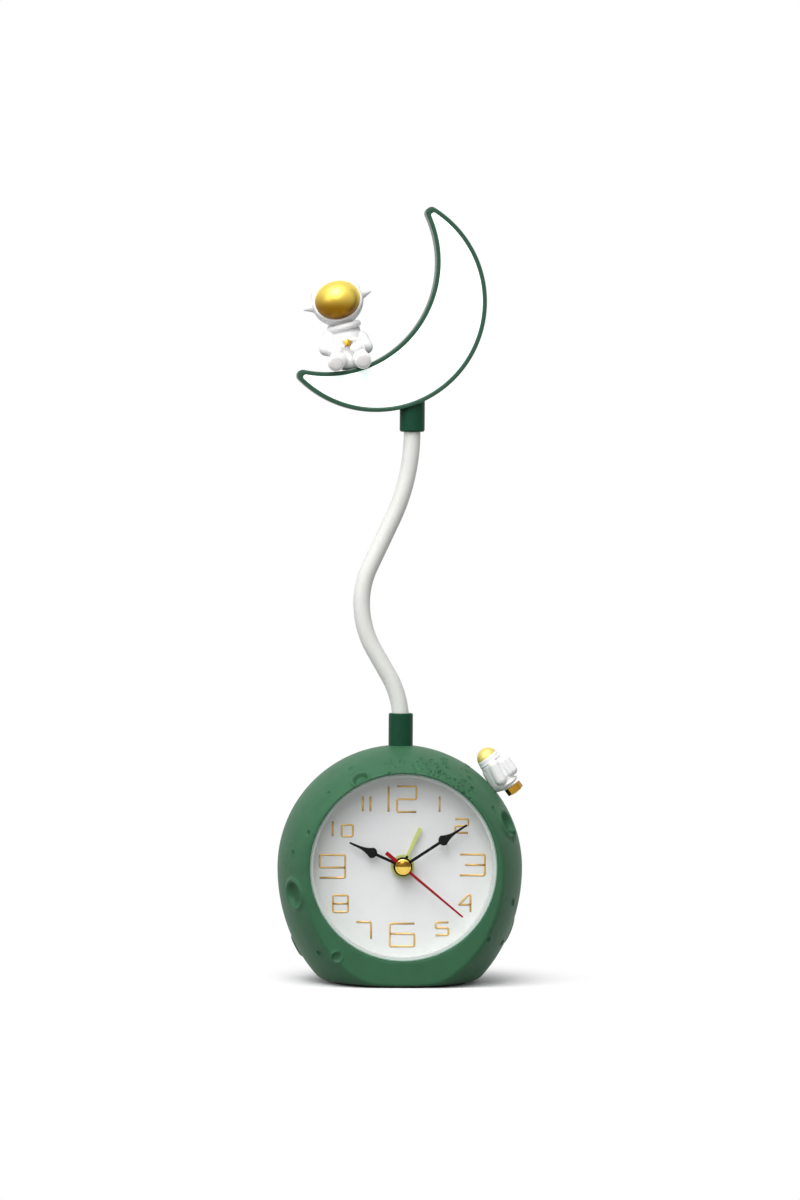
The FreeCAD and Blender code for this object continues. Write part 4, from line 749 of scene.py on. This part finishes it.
# Collars at both ends of the neck, moulded in dark green satin plastic and held in the
# shell and in the crescent, and the steel core that runs between them in the sleeve.
collar_plastic = finish("collar_green", srgb(20, 66, 46), 0.42, 0.06, 5.0, 0.3, 0.015,
                        specular_ior_level=0.12)
dress(collar_plastic, "lower_collar", "upper_collar")
dress(finish("core_steel", srgb(140, 141, 144), 0.36, 0.06, 2.0, 0.15, 0.01, metallic=1.0),
      *["neck_core_%d" % number for number in range(6)])


# Neck sleeve, a hose of off-white silicone over the bendable core. It is cut here
# into five lengths, each over one knuckle of the core.
sleeve_radius = 3.6
sleeve_bore = 2.5
sleeve_end = 147.389
neck_foot = 104.0
neck_lean = math.radians(30)
neck_return = math.radians(25)
neck_runs = (
    (8.0, 40.0, -neck_lean), (12.7, 41.0, neck_lean), (0.0, 36.0, neck_return), (22.3, 90.0, -neck_return),
    (9.0, 0.0, 0.0),
)
first_knuckle = 24.0
knuckle_pitch = 24.0
knuckle_count = 5
bend_half = 10.0
sleeve_sides = 40
sleeve_step = 1.0


def neck_at(at):
    """Point and lean of the neck's middle line at a length along it."""
    x, z, lean = 0.0, neck_foot, 0.0
    for straight, radius, turn in neck_runs:
        run = min(at, straight)
        x += run * math.sin(lean)
        z += run * math.cos(lean)
        at -= run
        if at > 0 and radius:
            part = math.copysign(min(at / radius, abs(turn)), turn)
            side = math.copysign(radius, turn)
            x += side * (math.cos(lean) - math.cos(lean + part))
            z += side * (math.sin(lean + part) - math.sin(lean))
            lean += part
            at -= abs(part) * radius
    return Vector((x, 0, z)), lean


def hose(start, end):
    """Closed length of hose: outside from start to end, and back inside."""
    steps = max(4, round((end - start) / sleeve_step))
    rows = [(start + (end - start) * n / steps, sleeve_radius) for n in range(steps + 1)]
    rows += [(at, sleeve_bore) for at, radius in reversed(rows)]
    rows.append(rows[0])
    count = len(rows) - 1
    bm = bmesh.new()
    bmesh.ops.create_grid(bm, x_segments=sleeve_sides, y_segments=count, size=1)
    for vert in bm.verts:
        turn = math.pi * (vert.co.x + 1)
        at, radius = rows[round((vert.co.y + 1) / 2 * count)]
        point, lean = neck_at(at)
        across = Vector((math.cos(lean), 0, -math.sin(lean)))
        vert.co = point + across * (radius * math.cos(turn)) + Vector((0, radius * math.sin(turn), 0))
    bmesh.ops.remove_doubles(bm, verts=bm.verts[:], dist=merge_within)
    bmesh.ops.recalc_face_normals(bm, faces=bm.faces[:])
    return bm


silicone = finish("white_silicone", srgb(222, 223, 218), 0.46, 0.02, 6.0, 0.5, 0.01)
for number in range(knuckle_count):
    knuckle = first_knuckle + number * knuckle_pitch
    start = knuckle - knuckle_pitch / 2 if number else 0.0
    end = knuckle + knuckle_pitch / 2 if number < knuckle_count - 1 else sleeve_end
    length = keep("neck_sleeve_%d" % (number + 1), hose(start, end), silicone, None, "sleeve_silicone",
                  *(("neck_sleeve",) if number == 0 else ()))
    neck_at(knuckle - bend_half)[0] * mm
    neck_at(knuckle + bend_half)[0] * mm
    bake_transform(length)


# Crescent lamp: a green moulded frame with a rounded rim and a closed back, and the opal white diffuser set
# into it, which glows a little: painted light that washes out the boots' shadows on it.
moon = Vector((-11.8723, 0, 292.6591))
bite = Vector((-33.6723, 0, 309.6591))
moon_radius = 47.3
bite_radius = 47.35
moon_front = -7.0
moon_back = 7.0
rim_width = 1.7
back_plate = 1.6
tip_radius = 2.5
inner_tip_radius = 1.1
diffuser_fit = 0.1
diffuser_front = -6.75
diffuser_depth = 1.6
arc_steps = 110
tip_steps = 10
frame_green = srgb(38, 78, 58)
diffuser_white = srgb(246, 248, 248)
shadow_wash_glow = srgb(226, 250, 240)
crescent_smooth = 18.0
rim_round = 0.45
rim_corner = 0.13


def crescent(shrink, tip):
    """Points round a crescent whose horns are rounded, at equal steps on each arc."""
    outer, inner = moon_radius - shrink, bite_radius + shrink
    near, far = outer - tip, inner + tip
    gap = bite - moon
    along = (near ** 2 - far ** 2 + gap.length_squared) / (2 * gap.length)
    across = math.sqrt(near ** 2 - along ** 2)
    one = gap.normalized()
    side = Vector((one.z, 0, -one.x))
    horns = [moon + one * along + side * across * sign for sign in (1, -1)]

    def arc(centre, radius, start, end, steps, clockwise):
        a = math.atan2(start.x - centre.x, start.z - centre.z)
        b = math.atan2(end.x - centre.x, end.z - centre.z)
        if clockwise and b < a:
            b += 2 * math.pi
        if not clockwise and b > a:
            b -= 2 * math.pi
        turns = [a + (b - a) * n / steps for n in range(steps)]
        return [centre + Vector((math.sin(t), 0, math.cos(t))) * radius for t in turns]

    upper, lower = sorted(horns, key=lambda horn: -horn.z)
    on_outer = [moon + (horn - moon).normalized() * outer for horn in (upper, lower)]
    on_inner = [bite + (horn - bite).normalized() * inner for horn in (upper, lower)]
    points = arc(moon, outer, on_outer[0], on_outer[1], arc_steps, True)
    points += arc(lower, tip, on_outer[1], on_inner[1], tip_steps, True)
    points += arc(bite, inner, on_inner[1], on_inner[0], arc_steps, False)
    points += arc(upper, tip, on_inner[0], on_outer[0], tip_steps, True)
    return points


def stacked(levels, caps):
    """Solid or ring from crescents of the same count of points, each at its depth, joined in turn."""
    bm = bmesh.new()
    loops = []
    for shrink, tip, y in levels:
        loops.append([bm.verts.new((point.x, y, point.z)) for point in crescent(shrink, tip)])
    for loop in loops:
        for pair in zip(loop, loop[1:] + loop[:1]):
            bm.edges.new(pair)
    for first, second in zip(loops, loops[1:]):
        for n in range(len(first)):
            m = (n + 1) % len(first)
            bm.faces.new((first[n], first[m], second[m], second[n]))
    for loop in caps:
        bm.faces.new(loops[loop])
    bmesh.ops.recalc_face_normals(bm, faces=bm.faces[:])
    return bm


frame_levels = (
    (rim_round, tip_radius - 0.3, moon_back), (rim_corner, tip_radius - 0.1, moon_back - rim_corner),
    (0.0, tip_radius, moon_back - rim_round), (0.0, tip_radius, moon_front + rim_round),
    (rim_corner, tip_radius - 0.1, moon_front + rim_corner), (rim_round, tip_radius - 0.2, moon_front),
    (rim_width - rim_round, inner_tip_radius + 0.2, moon_front),
    (rim_width - 0.1, inner_tip_radius + 0.05, moon_front + rim_corner),
    (rim_width, inner_tip_radius, moon_front + rim_round),
    (rim_width, inner_tip_radius, moon_back - back_plate),
)
frame_plastic = finish("satin_green", frame_green, 0.36, 0.05, 6.0, 0.3, 0.012, specular_ior_level=0.3)
keep("crescent_frame", stacked(frame_levels, (0, -1)), frame_plastic, "lamp_head", "green_frame",
     "moon_frame", smooth=crescent_smooth)
inset = rim_width + diffuser_fit
diffuser_levels = (
    (inset, inner_tip_radius, diffuser_front + diffuser_depth),
    (inset, inner_tip_radius, diffuser_front + 0.3),
    (inset + 0.1, inner_tip_radius - 0.03, diffuser_front + 0.08),
    (inset + 0.3, inner_tip_radius - 0.1, diffuser_front),
)
# Painted light: the glow is strong enough to wash out the shadows that the boots cast on the diffuser.
opal = finish("opal_white", diffuser_white, 0.30, 0.01, 10.0, 0.6, 0.006, emission_color=shadow_wash_glow,
              emission_strength=0.55)
keep("crescent_diffuser", stacked(diffuser_levels, (0, -1)), opal, "lamp_head", "diffuser_white",
     "moon_diffuser", smooth=crescent_smooth)


# Seated figure in a space suit, moulded in white with soft folds, a helmet with two
# small points, a raised ring round the golden visor, and a gold star on its chest.
figure_side = -22.8
seat = Vector((figure_side, 0, bite.z - math.sqrt(bite_radius ** 2 - (figure_side - bite.x) ** 2)))
helmet_radius = 11.4
head = seat + Vector((-5.9, -1.0, 29.6))
head_tilt = math.radians(16)
visor_half = 10.0
visor_squash = 0.84
visor_forward = 2.2
visor_plane = 0.43 * helmet_radius
helmet_front_share = 0.58
helmet_hoop = 10.2
point_root = 9.2
point_reach = 14.2
point_base = 3.4
point_tip = 0.9
visor_tuck = 1.9
visor_reflection_fade = 0.42
badge_radius = 2.2
sole_radius = 2.9
suit_smooth = 60.0
suit_voxel = 0.28
boots = ((-6.7, -13.4, 2.4), (4.9, -13.0, 3.6))
sole_reach = 3.3


def ball(bm, middle, radius, squash=(1, 1, 1), turn=None):
    """Ball, or an egg with its own turn."""
    place = Matrix.Translation(middle) @ (turn or Matrix.Identity(4)) @ Matrix.Diagonal((*squash, 1))
    bmesh.ops.create_uvsphere(bm, u_segments=32, v_segments=20, radius=radius, matrix=place)


def limb(bm, start, end, first, last=None, ends=(True, True)):
    """Round limb between two points that may taper, with ball ends."""
    last = first if last is None else last
    start, end = Vector(start), Vector(end)
    span = end - start
    turn = Vector((0, 0, 1)).rotation_difference(span).to_matrix().to_4x4()
    place = Matrix.Translation((start + end) / 2) @ turn
    bmesh.ops.create_cone(bm, cap_ends=True, segments=32, radius1=first, radius2=last, depth=span.length,
                          matrix=place)
    for spot, radius, wanted in ((start, first, ends[0]), (end, last, ends[1])):
        if wanted:
            ball(bm, spot, radius)


def hoop(bm, middle, radius, wire, axis=(0, 0, 1), squash=1.0, turn=None):
    """Ring of round wire about an axis, round or oval."""
    ring = bmesh.new()
    across = Matrix.Translation((radius, 0, 0)) @ Matrix.Rotation(math.pi / 2, 4, "X")
    bmesh.ops.create_circle(ring, cap_ends=False, radius=wire, segments=16, matrix=across)
    bmesh.ops.spin(ring, geom=ring.verts[:] + ring.edges[:], cent=(0, 0, 0), axis=(0, 0, 1),
                   angle=2 * math.pi, steps=64, use_merge=True)
    bmesh.ops.recalc_face_normals(ring, faces=ring.faces[:])
    turn = turn or Vector((0, 0, 1)).rotation_difference(Vector(axis)).to_matrix().to_4x4()
    place = Matrix.Translation(middle) @ turn @ Matrix.Diagonal((1, squash, 1, 1))
    bmesh.ops.transform(ring, matrix=place, verts=ring.verts[:])
    shape = bpy.data.meshes.new("hoop")
    ring.to_mesh(shape)
    ring.free()
    bm.from_mesh(shape)
    bpy.data.meshes.remove(shape)


def melted(name, bm, voxel, rounds):
    """One skin over many overlapping forms, smoothed a little."""
    mesh = bpy.data.meshes.new(name)
    bm.to_mesh(mesh)
    bm.free()
    rough = bpy.data.objects.new(name, mesh)
    scene.collection.objects.link(rough)
    one = rough.modifiers.new("one_skin", "REMESH")
    one.mode = "VOXEL"
    one.voxel_size = voxel
    even = rough.modifiers.new("even", "SMOOTH")
    even.factor = 0.5
    even.iterations = rounds
    done = bpy.data.meshes.new_from_object(rough.evaluated_get(bpy.context.evaluated_depsgraph_get()))
    bpy.data.objects.remove(rough)
    bm = bmesh.new()
    bm.from_mesh(done)
    bpy.data.meshes.remove(done)
    return bm


def star(radius, inner, thickness, middle, facing, crown):
    """Five-pointed badge, a little crowned towards its middle."""
    bm = bmesh.new()
    ring = bmesh.ops.create_circle(bm, cap_ends=True, cap_tris=True, radius=radius, segments=10)["verts"]
    for vert in ring:
        if vert.co.length > radius / 2:
            turn = math.atan2(vert.co.x, vert.co.y)
            point = round(turn / (math.pi / 5)) % 2 == 0
            vert.co = vert.co.normalized() * (radius if point else radius * inner)
        else:
            vert.co.z = crown
    made = bmesh.ops.extrude_face_region(bm, geom=bm.faces[:])["geom"]
    under = [item for item in made if isinstance(item, bmesh.types.BMVert)]
    for vert in under:
        vert.co.z = -thickness
    bmesh.ops.recalc_face_normals(bm, faces=bm.faces[:])
    turn = Vector((0, 0, 1)).rotation_difference(Vector(facing)).to_matrix().to_4x4()
    bmesh.ops.transform(bm, matrix=Matrix.Translation(middle) @ turn, verts=bm.verts[:])
    return bm


def gold_with_painted_reflection(name, middle_height, half):
    """Polished gold, bright above and brown below its middle: a painted reflection, as it stands between lamp
    and table.
    """
    material = finish(name, srgb(240, 212, 98), 0.42, 0.03, 6.0, 0.5, 0.002, 0.03, metallic=1.0)
    tree = material.node_tree
    skin = tree.nodes["Principled BSDF"]
    height = add(tree, "SeparateXYZ", {0: add(tree, "TexCoord").outputs["Object"]}).outputs["Z"]
    share = add(tree, "MapRange", {"Value": height, "From Min": (middle_height - half * visor_reflection_fade) * mm,
                                   "From Max": (middle_height + half * visor_reflection_fade) * mm},
                interpolation_type="SMOOTHSTEP").outputs[0]
    bright = skin.inputs["Base Color"].links[0].from_socket
    # Painted reflection: below the middle the gold is mixed to dark brown.
    tree.links.new(mixed(tree, share, srgb(138, 98, 18), bright), skin.inputs["Base Color"])
    return material


suit_white = finish("suit_white", srgb(240, 240, 240), 0.42, 0.015, 5.0, 0.5, 0.01)
tilt = Matrix.Rotation(-head_tilt, 4, "Y")
bm = bmesh.new()
ball(bm, head, helmet_radius, (1.0, 1.0, 0.98), tilt)
for vert in bm.verts:
    if vert.co.y < head.y:
        vert.co.y = head.y + (vert.co.y - head.y) * helmet_front_share
hoop(bm, head + Vector((0, -visor_plane + 0.9, 0)), helmet_hoop, 0.8, squash=visor_squash,
     turn=tilt @ Matrix.Rotation(math.pi / 2, 4, "X"))
for side in (-1, 1):
    out = tilt @ Vector((side, 0, 0))
    limb(bm, head + out * point_root, head + out * point_reach, point_base, point_tip, (False, True))
neck_ring = seat + Vector((-2.9, 0.0, 18.2))
hoop(bm, neck_ring, 6.2, 1.4, turn=tilt)
limb(bm, seat + Vector((0, 1, 7)), seat + Vector((-1.8, 0.4, 12.4)), 7.6, 7.2)
for height in (9.5, 12.6):
    hoop(bm, seat + Vector((-0.6, 0.4, height)), 7.1, 0.7)
for side in (-1, 1):
    limb(bm, seat + Vector((-0.8 + side * 3.2, 8.4, 8.5)), seat + Vector((-2.6 + side * 3.2, 8.4, 17.0)), 4.0)
limb(bm, seat + Vector((-8.6, -1.0, 14.2)), seat + Vector((-10.6, -3.5, 8.6)), 3.3, 3.0)
limb(bm, seat + Vector((-10.6, -3.5, 8.6)), seat + Vector((-7.2, -8.4, 7.8)), 3.0, 2.7)
ball(bm, seat + Vector((-6.4, -9.2, 7.6)), 2.9, (1, 0.9, 0.9))
hoop(bm, seat + Vector((-7.9, -7.4, 8.0)), 2.5, 0.55, axis=(0.57, -0.82, -0.13))
limb(bm, seat + Vector((4.6, -1.0, 13.4)), seat + Vector((6.6, -3.6, 9.6)), 3.2, 2.9)
limb(bm, seat + Vector((6.6, -3.6, 9.6)), seat + Vector((2.6, -8.4, 9.0)), 2.8, 2.5)
ball(bm, seat + Vector((1.9, -9.0, 8.9)), 2.6, (1, 0.9, 0.9))
hoop(bm, seat + Vector((3.6, -7.2, 9.1)), 2.5, 0.5, axis=(-0.62, -0.78, -0.1))
for side, knee_up, foot in ((-1, 0.0, boots[0]), (1, 0.7, boots[1])):
    knee = Vector((foot[0] * 0.86, -8.6, 4.2 + knee_up))
    limb(bm, seat + Vector((side * 3.8, -2.0, 3.6)), seat + knee, 3.8, 3.6)
    limb(bm, seat + knee, seat + Vector(foot), 3.5, 3.5)
    hoop(bm, seat + knee + Vector((0, -1.2, -0.3)), 3.2, 0.6, axis=(0.1 * side, -1, -0.1))
limb(bm, seat + Vector((-2.6, -3.0, 3.8)), seat + Vector((1.6, -3.0, 4.2)), 4.2)
suit = melted("suit", bm, suit_voxel, 3)
for vert in list(suit.verts):
    flat = Vector((vert.co.x - bite.x, 0, vert.co.z - bite.z))
    if flat.length > bite_radius - 0.05 and vert.co.y > moon_front - 0.05:
        flat = flat.normalized() * (bite_radius - 0.06)
        vert.co = Vector((bite.x + flat.x, vert.co.y, bite.z + flat.z))
keep("seated_figure_suit", suit, suit_white, "lamp_head", "figure_white", "seated_figure_body",
     smooth=suit_smooth)

sole_grey = finish("sole_grey", srgb(206, 203, 202), 0.55, 0.03, 2.0, 0.3, 0.03)
for name, foot in zip(("left", "right"), boots):
    bm = bmesh.new()
    place = Matrix.Translation(seat + Vector(foot) + Vector((0, -sole_reach, 0)))
    bmesh.ops.create_uvsphere(bm, u_segments=32, v_segments=16, radius=sole_radius,
                              matrix=place @ Matrix.Diagonal((1, 0.2, 0.96, 1)))
    keep("boot_sole_" + name, bm, sole_grey, "lamp_head", "figure_white")

visor_reflection_gold = gold_with_painted_reflection("visor_reflection_gold", head.z, visor_half)
middle = head + Vector((0, -visor_forward, 0))
bm = bmesh.new()
bmesh.ops.create_uvsphere(bm, u_segments=64, v_segments=48, radius=visor_half,
                          matrix=Matrix.Translation(middle) @ tilt @ Matrix.Diagonal((1, 1, visor_squash, 1)))
bmesh.ops.bisect_plane(bm, geom=bm.verts[:] + bm.edges[:] + bm.faces[:], dist=merge_within,
                       plane_co=(0, head.y - visor_plane + visor_tuck, 0), plane_no=(0, 1, 0),
                       clear_outer=True)
keep("seated_figure_face", bm, visor_reflection_gold, "lamp_head", "figure_gold", "seated_figure_visor")
star_gold = finish("star_gold", srgb(176, 130, 44), 0.28, 0.08, 1.5, 0.2, 0.01, metallic=1.0)
chest_star = star(badge_radius, 0.5, 0.9, seat + Vector((-1.6, -8.0, 11.4)), (0.05, -1, 0.25), 0.35)
keep("seated_figure_badge", chest_star, star_gold, "lamp_head", "figure_gold", "seated_figure_star")


# Small figure that lies on the shoulder of the body: golden dome, white suit with a
# box on its back, a grey ring and a gold star at its tail.
lying_turn = math.radians(44)
lying_lean = math.radians(9)
lying_forward = 3.0
small_head = (6.2, 6.4)
small_head_radius = 4.9
dome_radius = 4.7
dome_forward = 0.7
dome_cut = 0.4
tail_star_radius = 4.0
small_suit_voxel = 0.20
shell_gap = 0.05
lying_contact = math.sqrt(ball_radius ** 2 - lying_forward ** 2)
ground = Vector((math.sin(lying_turn) * lying_contact, -lying_forward,
                 ball_height + math.cos(lying_turn) * lying_contact))
slope = lying_turn + lying_lean
outward = Vector((math.sin(slope), 0, math.cos(slope)))
onward = Vector((-math.cos(slope), 0, math.sin(slope)))


def lying(along, lift, side=0.0):
    """Point of the lying figure's own frame."""
    return ground + onward * along + outward * lift + Vector((0, side, 0))


bm = bmesh.new()
ball(bm, lying(*small_head), small_head_radius)
limb(bm, lying(3.6, 6.2), lying(-4.2, 4.6), 5.0, 4.3)
hoop(bm, lying(5.4, 6.4), 4.7, 0.45, axis=onward)
limb(bm, lying(-4.4, 6.9), lying(-8.2, 7.6), 4.2, 3.6, (False, False))
hoop(bm, lying(-6.8, 7.3), 3.9, 0.6, axis=onward)
limb(bm, lying(1.6, 3.6), lying(-5.0, 2.6), 3.2, 2.8)
for side in (-1, 1):
    limb(bm, lying(3.4, 6.4, side * 3.4), lying(-3.4, 5.2, side * 3.6), 2.6)
    for height in (7.6, 10.2, 11.8):
        limb(bm, lying(2.0, height, side * 2.0), lying(-3.2, height, side * 2.2), 2.2)
small_suit = melted("small_suit", bm, small_suit_voxel, 4)
ball_point = Vector((0, 0, ball_height))
for vert in list(small_suit.verts):
    reach = (vert.co - ball_point).length
    if reach < ball_radius + shell_gap:
        vert.co = ball_point + (vert.co - ball_point) * (ball_radius + shell_gap) / reach
keep("lying_figure_suit", small_suit, suit_white, "base", "figure_white", "lying_figure_body",
     smooth=suit_smooth)
bm = bmesh.new()
dome = lying(*small_head) + onward * dome_forward
bmesh.ops.create_uvsphere(bm, u_segments=48, v_segments=32, radius=dome_radius,
                          matrix=Matrix.Translation(dome))
bmesh.ops.bisect_plane(bm, geom=bm.verts[:] + bm.edges[:] + bm.faces[:], dist=merge_within,
                       plane_co=lying(*small_head) + onward * dome_cut, plane_no=onward, clear_inner=True)
dome_gold = finish("dome_gold", srgb(222, 206, 118), 0.50, 0.04, 4.0, 0.4, 0.003, 0.04, metallic=0.5)
keep("lying_figure_dome", bm, dome_gold, "base", "figure_gold", "lying_figure_visor")
tail_star = star(tail_star_radius, 0.6, 3.0, lying(-11.8, 7.7), -onward, 0.6)
keep("lying_figure_badge", tail_star, star_gold, "base", "figure_gold", "lying_figure_star")
